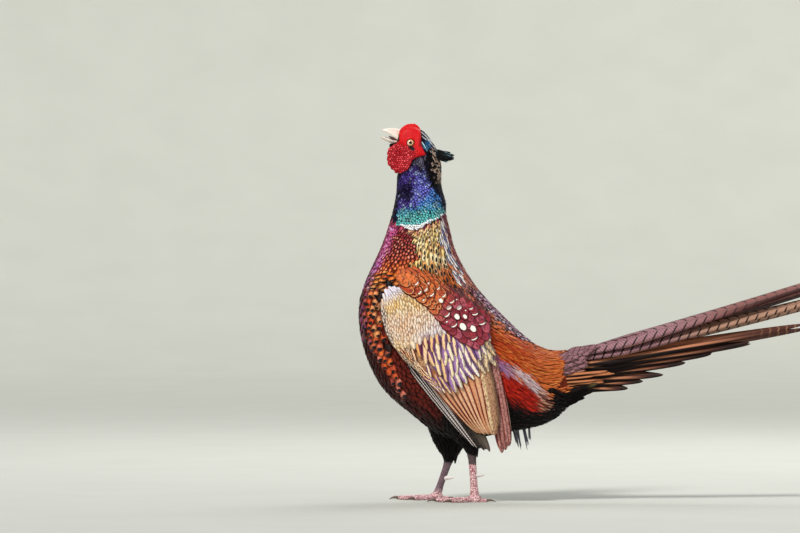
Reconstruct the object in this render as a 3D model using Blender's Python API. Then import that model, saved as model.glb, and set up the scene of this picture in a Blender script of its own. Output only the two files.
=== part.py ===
"""Cock common pheasant, life size, standing and calling.

Metres, +Z up. The bird faces -X and its left side faces -Y. The model is laid out from a point on the
floor under the body, and a root empty moves it so that the world origin lies on the floor under the
middle of the bounding box.
"""

import math
import random

import bmesh
import bpy
import numpy as np
from mathutils import Matrix, Vector

# Gap that neighbouring nodes keep, and the swelling of a cutter that leaves it on sloping faces.
GAP = 0.0003
CUT_SWELL = 0.00045

# From the point under the body to the middle of the bounding box, along X.
MIDDLE_X = 0.2283

# Body, neck and head are one swept form. Each row is one cross-section, from the rump to the bill:
# back X, back Z, front or belly X, front or belly Z, half width.
SECTIONS = (
    (0.1325, 0.1875, 0.1430, 0.1285, 0.024),
    (0.1100, 0.1888, 0.1185, 0.1055, 0.034),
    (0.0650, 0.2194, 0.0500, 0.0870, 0.048),
    (0.0288, 0.2563, -0.0250, 0.0835, 0.0545),
    (0.0150, 0.2740, -0.0585, 0.1080, 0.0555),
    (0.0019, 0.2950, -0.0905, 0.1355, 0.0545),
    (-0.0106, 0.3263, -0.1250, 0.2200, 0.049),
    (-0.0131, 0.3375, -0.1238, 0.2538, 0.045),
    (-0.0181, 0.3600, -0.1000, 0.3125, 0.035),
    (-0.0190, 0.3765, -0.0840, 0.3600, 0.028),
    (-0.0238, 0.3950, -0.0788, 0.3888, 0.0235),
    (-0.0246, 0.4240, -0.0790, 0.4180, 0.0190),
    (-0.0325, 0.4488, -0.0795, 0.4330, 0.0165),
    (-0.0413, 0.4612, -0.0792, 0.4385, 0.0155),
    (-0.0520, 0.4685, -0.0790, 0.4415, 0.0143),
    (-0.0625, 0.4692, -0.0789, 0.4435, 0.0125),
    (-0.0700, 0.4665, -0.0789, 0.4450, 0.0103),
    (-0.0745, 0.4635, -0.0793, 0.4462, 0.0080),
)
NECK_FROM = 7.6
HEAD_FROM = 11.3
BODY_SQUARENESS = 2.15
BELLY_SAG = 0.10
BODY_SIDES = 24

# Eye: where it is in profile, its ball, how deep the ball's centre is sunk, and the opening of its lids.
EYE_AT = (-0.0619, 0.4475)
EYE_RADIUS = 0.0062
EYE_SINK = 0.0033
LID_RADIUS = 0.0043
LID_ROOT_RADIUS = 0.0055

# Bare red skin of the face: its reach from the eye at angles in degrees from straight ahead, turning
# upwards, its height over the head from the lids to the rim, and the stand of its hanging lobes.
FACE_REACH = (
    (-180, 0.0118), (-168, 0.0140), (-155, 0.0190), (-142, 0.0246), (-130, 0.0225), (-118, 0.0205),
    (-105, 0.0225), (-87, 0.0313), (-79, 0.0378), (-68, 0.0425), (-56, 0.0417), (-43, 0.0384),
    (-30, 0.0347), (-18, 0.0285), (-9, 0.0215), (0, 0.0160), (12, 0.0152), (30, 0.0158),
    (50, 0.0186), (60, 0.0211), (71, 0.0243), (95, 0.0243), (108, 0.0220), (120, 0.0188), (148, 0.0135), (180, 0.0118),
)
FACE_HEIGHTS = (
    (0.00, 0.0017), (0.05, 0.0025), (0.12, 0.0016), (0.40, 0.0018), (0.72, 0.0027),
    (0.93, 0.0022), (1.00, 0.0010),
)
FACE_SINK = 0.0030
LOBE_STAND = 0.0095
CROWN_STAND = 0.0040
LOBES = 13
LOBE_DEPTH = 0.05

# Open bill. Each row: edge X, edge Z, ridge X, ridge Z, half width.
UPPER_BILL = (
    (-0.0815, 0.4536, -0.0812, 0.4660, 0.0066),
    (-0.0875, 0.4584, -0.0877, 0.4662, 0.0052),
    (-0.0927, 0.4610, -0.0932, 0.4655, 0.0036),
    (-0.0958, 0.4621, -0.0962, 0.4645, 0.0021),
    (-0.0974, 0.4626, -0.0977, 0.4632, 0.0009),
)
LOWER_BILL = (
    (-0.0840, 0.4508, -0.0838, 0.4462, 0.0060),
    (-0.0892, 0.4530, -0.0890, 0.4482, 0.0050),
    (-0.0943, 0.4545, -0.0942, 0.4508, 0.0036),
    (-0.0980, 0.4551, -0.0980, 0.4532, 0.0019),
    (-0.0999, 0.4553, -0.1000, 0.4546, 0.0008),
)
UPPER_BILL_ROOT = (0.70, -0.05, 0.0078)
LOWER_BILL_ROOT = (0.76, 1.03, 0.0068)
TONGUE = ((-0.0815, 0.0024), (-0.0870, 0.0022), (-0.0915, 0.0015), (-0.0940, 0.0006))
TONGUE_THICK = 0.0013
TONGUE_CLEAR = 0.0004

# Wisps under the vent: root X and Y, length, lean back and sideways.
VENT_LOCKS = (
    (0.058, -0.010, 0.034, 0.30, -0.06), (0.064, 0.008, 0.037, 0.12, 0.05), (0.070, -0.004, 0.041, 0.34, 0.02),
    (0.077, 0.010, 0.033, 0.30, 0.10), (0.083, -0.007, 0.036, 0.18, -0.05), (0.092, 0.002, 0.026, 0.42, 0.0),
)

# Ear tufts at the back of the crown.
TUFT_ROOT = (-0.0300, 0.0088, 0.4385)
TUFT_LENGTH = 0.0225
TUFT_VANES = 4

# Wing, drooped along the flank, in its own plane: the bend, and the axis from the bend to the tip.
WING_BEND = (-0.0963, 0.2613)
WING_AXIS = (0.6130, -0.7901)
WING_STANDS = (
    (0.0, 0.0450), (0.045, 0.0570), (0.095, 0.0645), (0.14, 0.0665), (0.20, 0.0640), (0.25, 0.0600),
)
WING_ROUNDING = 0.110
WING_MIDDLE = 0.006
WING_CORE = (0.0640, 0.0170, 0.0680, 0.0475)
WING_CORE_TOP = 0.0015
WING_CORE_LOW = 0.0240

# Wing feathers in the wing's plane: distance from the bend, distance behind the axis. Each tier has
# its first and last quill and tip, count, web width, height over the wing and shingle tilt in degrees.
WING_TIERS = {
    "primaries": ((0.052, -0.027), (0.080, -0.006), (0.196, -0.0345), (0.236, -0.0095), 5, 0.0098, -0.0092, 8.0),
    "secondaries": ((0.066, -0.024), (0.086, 0.044), (0.165, -0.0215), (0.2465, 0.0020), 7, 0.0118, -0.0050, 8.0),
    "coverts": ((0.040, -0.026), (0.090, 0.046), (0.104, -0.0265), (0.1640, 0.0340), 6, 0.0115, -0.0008, 7.0),
    "scapulars": ((0.030, 0.014), (0.082, 0.042), (0.074, 0.0280), (0.1330, 0.0540), 4, 0.0130, 0.0028, 7.0),
    "shoulder": ((0.016, 0.030), (0.060, 0.056), (0.052, 0.0420), (0.0960, 0.0640), 3, 0.0110, 0.0050, 6.0),
}
WING_BOWS = {"primaries": -0.0020, "secondaries": 0.0060, "coverts": 0.0030, "scapulars": 0.0, "shoulder": 0.0}

# Tail: nine pairs of feathers, longest in the middle, roofed over one another.
TAIL_LENGTHS = (0.455, 0.392, 0.300, 0.228, 0.180, 0.145, 0.113, 0.088, 0.068)
TAIL_RISES = (15.4, 12.8, 9.4, 8.3, 8.2, 8.2, 5.4, 4.0, 1.0)
TAIL_ROLLS = (30.0, 36.0, 42.0, 47.0, 52.0, 56.0, 60.0, 63.0, 66.0)
TAIL_SPREADS = (0.5, 0.9, 1.5, 2.2, 2.9, 3.6, 4.3, 5.0, 5.6)
TAIL_TOP_Z = 0.1838
TAIL_LOW_Z = 0.1470
TAIL_ROOT_X = 0.1400
TAIL_OUTER_WEB = 0.0185
TAIL_INNER_WEB = 0.0110
TAIL_PARTING = 0.0018
UNDER_TAIL_COVERTS = 3

# Legs: the thigh's top, the ankle and the foot of each, as X, Y, Z.
THIGH_TOPS = {"left": (-0.0020, -0.028, 0.1180), "right": (-0.0150, 0.028, 0.1180)}
ANKLES = {"left": (0.0140, -0.0325, 0.0660), "right": (-0.0120, 0.0325, 0.0540)}
FEET = {"left": (0.0180, -0.0345, 0.0055), "right": (-0.0290, 0.0345, 0.0055)}
THIGH_SHAPE = (
    (0.0, 0.0300, 0.0210), (0.35, 0.0270, 0.0195), (0.62, 0.0215, 0.0155),
    (0.82, 0.0155, 0.0115), (0.94, 0.0105, 0.0085), (1.0, 0.0066, 0.0062),
)
SHANK_RADIUS = 0.0046
SHANK_SHAPE = ((0.0, 1.12), (0.10, 1.18), (0.22, 0.95), (0.50, 0.86), (0.78, 0.88), (0.92, 1.10), (1.0, 1.05))
TOES = (
    ("inner", -34.0, 0.0340, 0.0030),
    ("middle", 2.0, 0.0480, 0.0033),
    ("outer", 36.0, 0.0370, 0.0030),
    ("hind", 172.0, 0.0150, 0.0026),
)
SOLE = 0.0
CLAW_LENGTH = 0.0110
SPUR_LENGTH = 0.0125
SPUR_HEIGHT = 0.0315

SIDES = (("left", -1.0), ("right", 1.0))
rng = random.Random(12)


def clear_scene():
    for obj in list(bpy.data.objects):
        bpy.data.objects.remove(obj, do_unlink=True)


def material(name, colour, roughness, metallic=0.0):
    made = bpy.data.materials.new(name)
    made.use_nodes = True
    shader = made.node_tree.nodes["Principled BSDF"]
    shader.inputs["Base Color"].default_value = (*colour, 1.0)
    shader.inputs["Roughness"].default_value = roughness
    shader.inputs["Metallic"].default_value = metallic
    return made


def blend(a, b, t):
    return a + (b - a) * t


def smooth_step(t):
    t = min(1.0, max(0.0, t))
    return t * t * (3 - 2 * t)


class Spline:
    """A natural cubic spline through rows of values, one row for each knot."""

    def __init__(self, knots, rows):
        self.knots = np.asarray(knots, float)
        self.rows = np.asarray(rows, float).reshape(len(self.knots), -1)
        count = len(self.knots)
        step = np.diff(self.knots)
        matrix = np.eye(count)
        right = np.zeros_like(self.rows)
        for i in range(1, count - 1):
            matrix[i, i - 1 : i + 2] = step[i - 1], 2 * (step[i - 1] + step[i]), step[i]
            ahead = (self.rows[i + 1] - self.rows[i]) / step[i]
            behind = (self.rows[i] - self.rows[i - 1]) / step[i - 1]
            right[i] = 6 * (ahead - behind)
        self.bends = np.linalg.solve(matrix, right)

    def __call__(self, x):
        i = int(np.clip(np.searchsorted(self.knots, x) - 1, 0, len(self.knots) - 2))
        step = self.knots[i + 1] - self.knots[i]
        a = (self.knots[i + 1] - x) / step
        b = 1 - a
        curve = (a**3 - a) * self.bends[i] + (b**3 - b) * self.bends[i + 1]
        return a * self.rows[i] + b * self.rows[i + 1] + curve * step * step / 6


def section_knots():
    """Distance along the body of each section, as the mean of its two outlines."""
    rows = np.asarray(SECTIONS)
    back = np.linalg.norm(np.diff(rows[:, 0:2], axis=0), axis=1)
    front = np.linalg.norm(np.diff(rows[:, 2:4], axis=0), axis=1)
    return np.concatenate([[0.0], np.cumsum((back + front) / 2)])


KNOTS = section_knots()
BODY = Spline(KNOTS, SECTIONS)
WING_STAND = Spline([l for l, _ in WING_STANDS], [[y] for _, y in WING_STANDS])


def along(number):
    """The distance along the body of a section number, which may lie between two sections."""
    return float(np.interp(number, range(len(KNOTS)), KNOTS))


def body_point(s, turn, swell=0.0):
    """A point of the body's surface: s along it, turn round it from the back (0) by the left side."""
    back_x, back_z, front_x, front_z, half_width = BODY(s)
    back, front = Vector((back_x, 0, back_z)), Vector((front_x, 0, front_z))
    up = back - front
    half = up.length / 2
    up.normalize()
    power = 2 / BODY_SQUARENESS
    c, n = math.cos(turn), math.sin(turn)
    sag = BELLY_SAG * (1 - smooth_step(s / along(8)))
    lift = math.copysign(abs(c) ** power, c) * (half + swell)
    side = math.copysign(abs(n) ** power, n) * (1 - sag * c) * (half_width + swell)
    return (back + front) / 2 + up * lift + Vector((0, -side, 0))


def node(name, bm, look):
    """Turns a bmesh into one named, smooth shaded object."""
    bmesh.ops.recalc_face_normals(bm, faces=bm.faces)
    mesh = bpy.data.meshes.new(name)
    bm.to_mesh(mesh)
    bm.free()
    obj = bpy.data.objects.new(name, mesh)
    bpy.context.scene.collection.objects.link(obj)
    mesh.materials.append(look)
    mesh.shade_smooth()
    mesh.set_sharp_from_angle(angle=math.radians(40))
    return obj


def bridged(rings, closed_ends=True):
    """A closed tube of triangles through rings of equally many points."""
    bm = bmesh.new()
    rows = [[bm.verts.new(p) for p in ring] for ring in rings]
    count = len(rows[0])
    for low, high in zip(rows, rows[1:]):
        for i in range(count):
            j = (i + 1) % count
            bm.faces.new((low[i], low[j], high[j]))
            bm.faces.new((low[i], high[j], high[i]))
    if closed_ends:
        for row, flip in ((rows[0], True), (rows[-1], False)):
            middle = bm.verts.new(sum((v.co for v in row), Vector()) / count)
            for i in range(count):
                j = (i + 1) % count
                corners = (row[j], row[i], middle) if flip else (row[i], row[j], middle)
                bm.faces.new(corners)
    return bm


def looped(rings):
    """A closed ring of triangles through rings that come back to the first."""
    bm = bmesh.new()
    rows = [[bm.verts.new(p) for p in ring] for ring in rings]
    count = len(rows[0])
    for n, low in enumerate(rows):
        high = rows[(n + 1) % len(rows)]
        for i in range(count):
            j = (i + 1) % count
            bm.faces.new((low[i], low[j], high[j]))
            bm.faces.new((low[i], high[j], high[i]))
    return bm


def body_rings(start, end, count, swell=0.0):
    """Rings of the body's surface, evenly spaced between two distances along it."""
    rings = []
    for i in range(count):
        s = blend(start, end, i / (count - 1))
        rings.append([body_point(s, math.tau * k / BODY_SIDES, swell) for k in range(BODY_SIDES)])
    return rings


def tube(path, radii, sides=8, squash=None, floor=None):
    """A tube of round or flattened section along path. Points under floor are laid on it."""
    rings = []
    for i, (p, r) in enumerate(zip(path, radii)):
        ahead = path[min(i + 1, len(path) - 1)] - path[max(i - 1, 0)]
        ahead.normalize()
        across = ahead.cross(Vector((0, 0, 1)))
        if across.length < 0.2:
            across = Vector((0, 1, 0))
        across.normalize()
        up = across.cross(ahead)
        flat = squash[i] if squash else 1.0
        ring = []
        for k in range(sides):
            turn = math.tau * (k + 0.5) / sides
            q = p + across * (r * math.cos(turn)) + up * (r * flat * math.sin(turn))
            if floor is not None:
                q.z = max(q.z, floor)
            ring.append(q)
        rings.append(ring)
    return bridged(rings)


def vane(path, normals, inner, outer, thick=0.0009, edge=0.0005):
    """A feather's vane: a thin plate along path, thickest on its shaft. inner and outer are its web widths.

    Both faces are split into the same triangles.
    """
    bm = bmesh.new()
    rows = []
    count = len(path)
    for i in range(count):
        ahead = path[min(i + 1, count - 1)] - path[max(i - 1, 0)]
        ahead.normalize()
        up = normals[i] - ahead * normals[i].dot(ahead)
        up.normalize()
        across = ahead.cross(up)
        thin = blend(1.0, 0.75, i / (count - 1))
        spots = ((-inner[i], edge), (0.0, thick), (outer[i], edge))
        top = [bm.verts.new(path[i] + across * w + up * (t * thin / 2)) for w, t in spots]
        low = [bm.verts.new(path[i] + across * w - up * (t * thin / 2)) for w, t in spots]
        rows.append((top, low))
    for (top_a, low_a), (top_b, low_b) in zip(rows, rows[1:]):
        for k in (0, 1):
            bm.faces.new((top_a[k], top_a[k + 1], top_b[k + 1]))
            bm.faces.new((top_a[k], top_b[k + 1], top_b[k]))
            bm.faces.new((low_a[k + 1], low_a[k], low_b[k + 1]))
            bm.faces.new((low_b[k + 1], low_a[k], low_b[k]))
        for k, flip in ((0, False), (2, True)):
            quad = (top_a[k], top_b[k], low_b[k], low_a[k])
            if flip:
                quad = quad[::-1]
            bm.faces.new((quad[0], quad[1], quad[2]))
            bm.faces.new((quad[0], quad[2], quad[3]))
    for (top, low), flip in ((rows[0], True), (rows[-1], False)):
        for k in (0, 1):
            quad = (top[k], top[k + 1], low[k + 1], low[k])
            if flip:
                quad = quad[::-1]
            bm.faces.new((quad[0], quad[1], quad[2]))
            bm.faces.new((quad[0], quad[2], quad[3]))
    return bm


def web_width(t, widest, start=0.25, tip=0.07):
    """A web's width at share t of the feather: narrow at the quill, full, then rounded to the tip."""
    grow = start + (1 - start) * smooth_step(t / 0.3)
    fade = math.sqrt(max(0.0, 1 - max(0.0, (t - 0.55) / 0.45) ** 2.4))
    return widest * max(tip, grow * fade)


def shares(count):
    """Shares along a feather, closer together at its tip."""
    return [1 - (1 - i / (count - 1)) ** 1.35 for i in range(count)]


def largest_shell(obj):
    """Deletes all but the closed surface that holds most volume."""
    bm = bmesh.new()
    bm.from_mesh(obj.data)
    left = set(bm.verts)
    shells = []
    while left:
        seed = left.pop()
        shell, front = {seed}, [seed]
        while front:
            for e in front.pop().link_edges:
                for v in e.verts:
                    if v not in shell:
                        shell.add(v)
                        front.append(v)
        left -= shell
        shells.append(shell)

    def volume(shell):
        faces = {f for v in shell for f in v.link_faces}
        total = 0.0
        for f in faces:
            a = f.verts[0].co
            for b, c in zip(f.verts[1:-1], f.verts[2:]):
                total += a.dot(b.co.cross(c.co))
        return abs(total)

    shells.sort(key=volume, reverse=True)
    for shell in shells[1:]:
        bmesh.ops.delete(bm, geom=list(shell), context="VERTS")
    bm.to_mesh(obj.data)
    bm.free()


def baked(obj):
    """Replaces the object's mesh by what its modifiers make of it."""
    graph = bpy.context.evaluated_depsgraph_get()
    mesh = bpy.data.meshes.new_from_object(obj.evaluated_get(graph))
    obj.modifiers.clear()
    obj.data = mesh


def fused(name, look, pieces, cutters=()):
    """Joins closed pieces into one node, cuts it clear of its neighbours and keeps its largest surface."""
    base = node(name, pieces[0], look)
    helpers = []
    if len(pieces) > 1:
        group = bpy.data.collections.new(name + "_pieces")
        bpy.context.scene.collection.children.link(group)
        for i, bm in enumerate(pieces[1:]):
            piece = node(f"{name}_piece_{i}", bm, look)
            bpy.context.scene.collection.objects.unlink(piece)
            group.objects.link(piece)
            helpers.append(piece)
        union = base.modifiers.new("join", "BOOLEAN")
        union.operation = "UNION"
        union.operand_type = "COLLECTION"
        union.collection = group
        union.solver = "MANIFOLD"
        baked(base)
        bpy.data.collections.remove(group)
    for i, bm in enumerate(cutters):
        cutter = node(f"{name}_cutter_{i}", bm, look)
        helpers.append(cutter)
        cut = base.modifiers.new("clear", "BOOLEAN")
        cut.operation = "DIFFERENCE"
        cut.object = cutter
        cut.solver = "MANIFOLD"
        baked(base)
    for helper in helpers:
        bpy.data.objects.remove(helper, do_unlink=True)
    largest_shell(base)
    base.data.materials.clear()
    base.data.materials.append(look)
    base.data.shade_smooth()
    base.data.set_sharp_from_angle(angle=math.radians(40))
    return base


def torso_rings(swell=0.0):
    return body_rings(0.0, along(NECK_FROM) - GAP / 2, 20, swell)


def neck_rings(swell=0.0):
    return body_rings(along(NECK_FROM) + GAP / 2, along(HEAD_FROM) - GAP / 2, 8, swell)


def head_rings(swell=0.0):
    return body_rings(along(HEAD_FROM) + GAP / 2, KNOTS[-1], 13, swell)


def torso_cutter():
    """The torso, swollen, to cut what lies on it."""
    return bridged(torso_rings(CUT_SWELL))


def head_cutter():
    """The head and the top of the neck, swollen, to cut what lies on them."""
    return bridged(neck_rings(CUT_SWELL)[-5:] + head_rings(CUT_SWELL))


def ball(centre, radius, segments=16, rings=10, scale=(1, 1, 1)):
    bm = bmesh.new()
    bmesh.ops.create_uvsphere(bm, u_segments=segments, v_segments=rings, radius=radius)
    bmesh.ops.triangulate(bm, faces=bm.faces)
    bm.transform(Matrix.Translation(centre) @ Matrix.Diagonal((*scale, 1)))
    return bm


def surface_y(x, z):
    """Half width of the body where a line across it meets the profile point, or None outside it."""
    low, high = 0.0, KNOTS[-1]

    def beyond(s):
        back_x, back_z, front_x, front_z, _ = BODY(s)
        return (x - front_x) * (back_z - front_z) - (z - front_z) * (back_x - front_x)

    steps = np.linspace(low, high, 80)
    values = [beyond(s) for s in steps]
    found = None
    for a, b, va, vb in zip(steps, steps[1:], values, values[1:]):
        if (va > 0) == (vb > 0):
            continue
        for _ in range(24):
            mid = (a + b) / 2
            if (beyond(mid) > 0) == (va > 0):
                a = mid
            else:
                b = mid
        back_x, back_z, front_x, front_z, half_width = BODY(a)
        back, front = Vector((back_x, back_z)), Vector((front_x, front_z))
        half = (back - front).length / 2
        lift = (Vector((x, z)) - (back + front) / 2).dot((back - front) / (2 * half))
        if abs(lift) < half:
            c = math.copysign((abs(lift) / half) ** (BODY_SQUARENESS / 2), lift)
            sag = BELLY_SAG * (1 - smooth_step(a / along(8)))
            side = (1 - c * c) ** (1 / BODY_SQUARENESS) * (1 - sag * c) * half_width
            found = side if found is None else max(found, side)
    return found


def vent_locks():
    """The dark wisps that hang under the vent."""
    made = []
    for x, y, drop, lean_x, lean_y in VENT_LOCKS:
        root = Vector((x, y, 0.1030))
        lean = Vector((lean_x, lean_y, -1)).normalized()
        path = [root, root + lean * drop * 0.4, root + lean * drop * 0.75, root + lean * drop]
        made.append(tube(path, [0.0042, 0.0036, 0.0021, 0.0004], sides=6))
    return made


def make_torso(looks):
    return fused("torso", looks["breast"], [bridged(torso_rings())] + vent_locks())


def make_neck(looks):
    return node("neck", bridged(neck_rings()), looks["neck"])


def eye_centre(side):
    x, z = EYE_AT
    return Vector((x, side * (surface_y(x, z) - EYE_SINK), z))


def make_head(looks):
    sockets = [ball(eye_centre(side), EYE_RADIUS + CUT_SWELL, 14, 10) for _, side in SIDES]
    return fused("head", looks["neck"], [bridged(head_rings())], sockets)


def make_eye(looks, label, side):
    return node(f"eye_{label}", ball(eye_centre(side), EYE_RADIUS, 14, 10), looks["eye"])


def make_face(looks, label, side):
    """The bare red skin round the eye, with its raised lid ring and the lobes that hang below it."""
    angles = [a for a, _ in FACE_REACH]
    reaches = [r for _, r in FACE_REACH]
    eye_x, eye_z = EYE_AT
    lid_stand = surface_y(eye_x, eye_z)
    count = 39
    rows = list(FACE_HEIGHTS) + [(1.0, None), (0.5, None), (0.0, None)]
    rings = []
    for share, height in rows:
        ring = []
        for k in range(count):
            turn = math.tau * k / count - math.pi
            reach = float(np.interp(math.degrees(turn), angles, reaches))
            hanging = smooth_step((reach - 0.019) / 0.010)
            lobe = 1 - LOBE_DEPTH * hanging * share * (0.5 + 0.5 * math.cos(turn * LOBES))
            opening = LID_RADIUS if height else LID_ROOT_RADIUS
            r = blend(opening, reach * lobe, share)
            x = eye_x - math.cos(turn) * r
            z = eye_z + math.sin(turn) * r
            stand = blend(CROWN_STAND, LOBE_STAND, smooth_step((eye_z - z) / 0.008 + 0.5))
            skin = surface_y(x, z) or 0.0
            if height is None:
                y = max(skin - FACE_SINK, stand)
            else:
                y = max(skin, blend(lid_stand, skin, smooth_step(share / 0.2)), stand) + height
            ring.append(Vector((x, side * y, z)))
        rings.append(ring)
    cutters = [head_cutter(), ball(eye_centre(side), EYE_RADIUS + CUT_SWELL, 14, 10)]
    return fused(f"face_{label}", looks["face"], [looped(rings)], cutters)


def half_section(edge, ridge, half_width, sides=10):
    """A bill's section: an arch over its flat inner face. edge and ridge are X and Z."""
    middle, top = Vector((edge[0], 0, edge[1])), Vector((ridge[0], 0, ridge[1]))
    rise = top - middle
    ring = []
    for k in range(sides):
        turn = math.tau * k / sides
        c, n = math.cos(turn), math.sin(turn)
        lift = c if c > 0 else 0.02 * c
        ring.append(middle + rise * lift + Vector((0, -n * half_width, 0)))
    return ring


def bill_root(share_edge, share_ridge, half_width):
    """The bill's section where it meets the end of the head, at shares down that section."""
    back_x, back_z, front_x, front_z, _ = BODY(KNOTS[-1])
    back, front = Vector((back_x, back_z)), Vector((front_x, front_z))
    ahead = Vector((front.y - back.y, back.x - front.x)).normalized()
    edge = back.lerp(front, share_edge) + ahead * GAP
    ridge = back.lerp(front, share_ridge) + ahead * GAP
    return half_section(edge, ridge, half_width)


def bill(root, rows):
    knots = np.linspace(0, 1, len(rows))
    curve = Spline(knots, rows)
    rings = [bill_root(*root)]
    for i in range(8):
        edge_x, edge_z, ridge_x, ridge_z, half_width = curve(i / 7)
        rings.append(half_section((edge_x, edge_z), (ridge_x, ridge_z), half_width))
    return bridged(rings)


def make_bill(looks):
    nostrils = []
    for _, side in SIDES:
        slot = ball(Vector((-0.0806, side * 0.0062, 0.4612)), 0.0013, 8, 6, (1.9, 0.9, 0.75))
        nostrils.append(slot)
    fused("bill_upper", looks["bill"], [bill(UPPER_BILL_ROOT, UPPER_BILL)], nostrils)
    node("bill_lower", bill(LOWER_BILL_ROOT, LOWER_BILL), looks["bill"])
    rings = []
    floor_x = [row[0] for row in LOWER_BILL][::-1]
    floor_z = [row[1] for row in LOWER_BILL][::-1]
    for x, half_width in TONGUE:
        z = float(np.interp(x, floor_x, floor_z)) + TONGUE_CLEAR
        rings.append(half_section((x, z), (x - 0.0003, z + TONGUE_THICK), half_width, 8))
    node("tongue", bridged(rings), looks["mouth"])


def make_tuft(looks, label, side):
    """One ear tuft: a few stiff vanes fanned from a root on the back of the crown."""
    root = Vector((TUFT_ROOT[0], TUFT_ROOT[1] * side, TUFT_ROOT[2]))
    back = Vector((0.93, 0.16 * side, -0.33)).normalized()
    core = [root - back * 0.004, root + back * 0.004, root + back * 0.011, root + back * 0.0165]
    pieces = [tube(core, [0.0030, 0.0040, 0.0036, 0.0012], sides=8, squash=[0.9, 0.95, 0.95, 0.9])]
    for i in range(TUFT_VANES):
        t = i / (TUFT_VANES - 1)
        fan = math.radians(blend(13.0, -15.0, t))
        way = Matrix.Rotation(-fan, 3, "Y") @ back
        start = root + Vector((0, 0, blend(0.0018, -0.0018, t)))
        length = TUFT_LENGTH * (1 - 0.22 * abs(2 * t - 0.9)) * rng.uniform(0.95, 1.03)
        path = [start + way * length * u for u in (0.0, 0.40, 0.78, 1.0)]
        widths = [0.0014, 0.0022, 0.0019, 0.0005]
        level = Vector((0, 0.96 * side, 0.28 - 0.1 * i)).normalized()
        offset = level * (0.0005 * (i - 1.5))
        path = [p + offset for p in path]
        pieces.append(vane(path, [level] * 4, widths, widths, 0.0008))
    return fused(f"ear_tuft_{label}", looks["tuft"], pieces, [head_cutter()])


def wing_point(l, w, height, side):
    """A point over the wing's surface: l from the bend along its axis, w behind the axis."""
    axis_x, axis_z = WING_AXIS
    x = WING_BEND[0] + l * axis_x - w * axis_z
    z = WING_BEND[1] + l * axis_z + w * axis_x
    stand = float(WING_STAND(min(max(l, -0.01), 0.26))[0])
    y = stand - (w - WING_MIDDLE) ** 2 / (2 * WING_ROUNDING) + height
    return Vector((x, side * y, z))


def wing_normal(l, w, side):
    step = 0.001
    across = wing_point(l, w + step, 0, side) - wing_point(l, w - step, 0, side)
    ahead = wing_point(l + step, w, 0, side) - wing_point(l - step, w, 0, side)
    n = ahead.cross(across).normalized()
    return n if n.y * side > 0 else -n


def wing_vane(root, tip, bow, half_width, height, tilt, side, stations=4):
    """One feather on the wing, bent to the wing's surface and tilted like a shingle."""
    path, normals, webs = [], [], []
    root, tip = Vector(root), Vector(tip)
    run = (tip - root).normalized()
    aside = Vector((-run.y, run.x))
    for t in shares(stations):
        p = root.lerp(tip, t) + aside * (bow * 4 * t * (1 - t))
        at = wing_point(p.x, p.y, height, side)
        n = wing_normal(p.x, p.y, side)
        ahead = (wing_point(p.x + run.x * 0.001, p.y + run.y * 0.001, height, side) - at).normalized()
        turn = math.radians(blend(tilt, tilt * 1.5, t)) * -side
        path.append(at)
        normals.append(Matrix.Rotation(turn, 3, ahead) @ n)
        webs.append(web_width(t, half_width, 0.45, 0.16))
    return vane(path, normals, webs, webs)


def wing_core(side):
    """The covered arm of the wing, a shallow shield that the feathers grow from."""
    middle_l, middle_w, half_l, half_w = WING_CORE
    count = 28
    rings = []
    for share, drop in ((1.0, 0.0065), (0.94, 0.0028), (0.80, 0.0009), (0.55, 0.0), (0.25, 0.0)):
        ring = []
        for k in range(count):
            turn = math.tau * k / count
            l = middle_l + half_l * share * math.cos(turn)
            w = middle_w + half_w * share * math.sin(turn)
            ring.append(wing_point(l, w, WING_CORE_TOP - drop, side))
        rings.append(ring)
    low = [p - Vector((0, side * WING_CORE_LOW, 0)) for p in rings[0]]
    return bridged([low] + rings)


def make_wing(looks, label, side):
    pieces = [wing_core(side)]
    for tier, (root_a, root_b, tip_a, tip_b, count, web, height, tilt) in WING_TIERS.items():
        for i in range(count):
            t = i / (count - 1)
            root = Vector(root_a).lerp(Vector(root_b), t)
            tip = Vector(tip_a).lerp(Vector(tip_b), t)
            tip += (tip - root) * rng.uniform(-0.02, 0.02)
            stack = height + 0.00015 * i
            pieces.append(wing_vane(root, tip, WING_BOWS[tier] * t, web, stack, tilt, side))
    cutters = [torso_cutter(), thigh(label, CUT_SWELL)]
    return fused(f"wing_{label}", looks["wing"], pieces, cutters)


def tail_root():
    """The short stump behind the rump that the tail feathers grow from."""
    rings = []
    start = -GAP
    for back, share in ((0.0, 1.0), (0.012, 0.86), (0.026, 0.55), (0.036, 0.16)):
        rings.append([root_point(start - back, share, math.tau * k / 24) for k in range(24)])
    return bridged(rings)


def root_point(s, share, turn):
    """A point behind the rump's end section, shrunk by share towards its upper part."""
    back_x, back_z, front_x, front_z, half_width = BODY(0.0)
    back, front = Vector((back_x, 0, back_z)), Vector((front_x, 0, front_z))
    rearward = Vector((back_z - front_z, 0, front_x - back_x)).normalized()
    pivot = back.lerp(front, 0.38)
    power = 2 / BODY_SQUARENESS
    c, n = math.cos(turn), math.sin(turn)
    up = (back - front) / 2
    lift = up * math.copysign(abs(c) ** power, c)
    sag = BELLY_SAG
    side = math.copysign(abs(n) ** power, n) * (1 - sag * c) * half_width
    p = (back + front) / 2 + lift + Vector((0, -side, 0))
    return pivot + (p - pivot) * share - rearward * s


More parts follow.
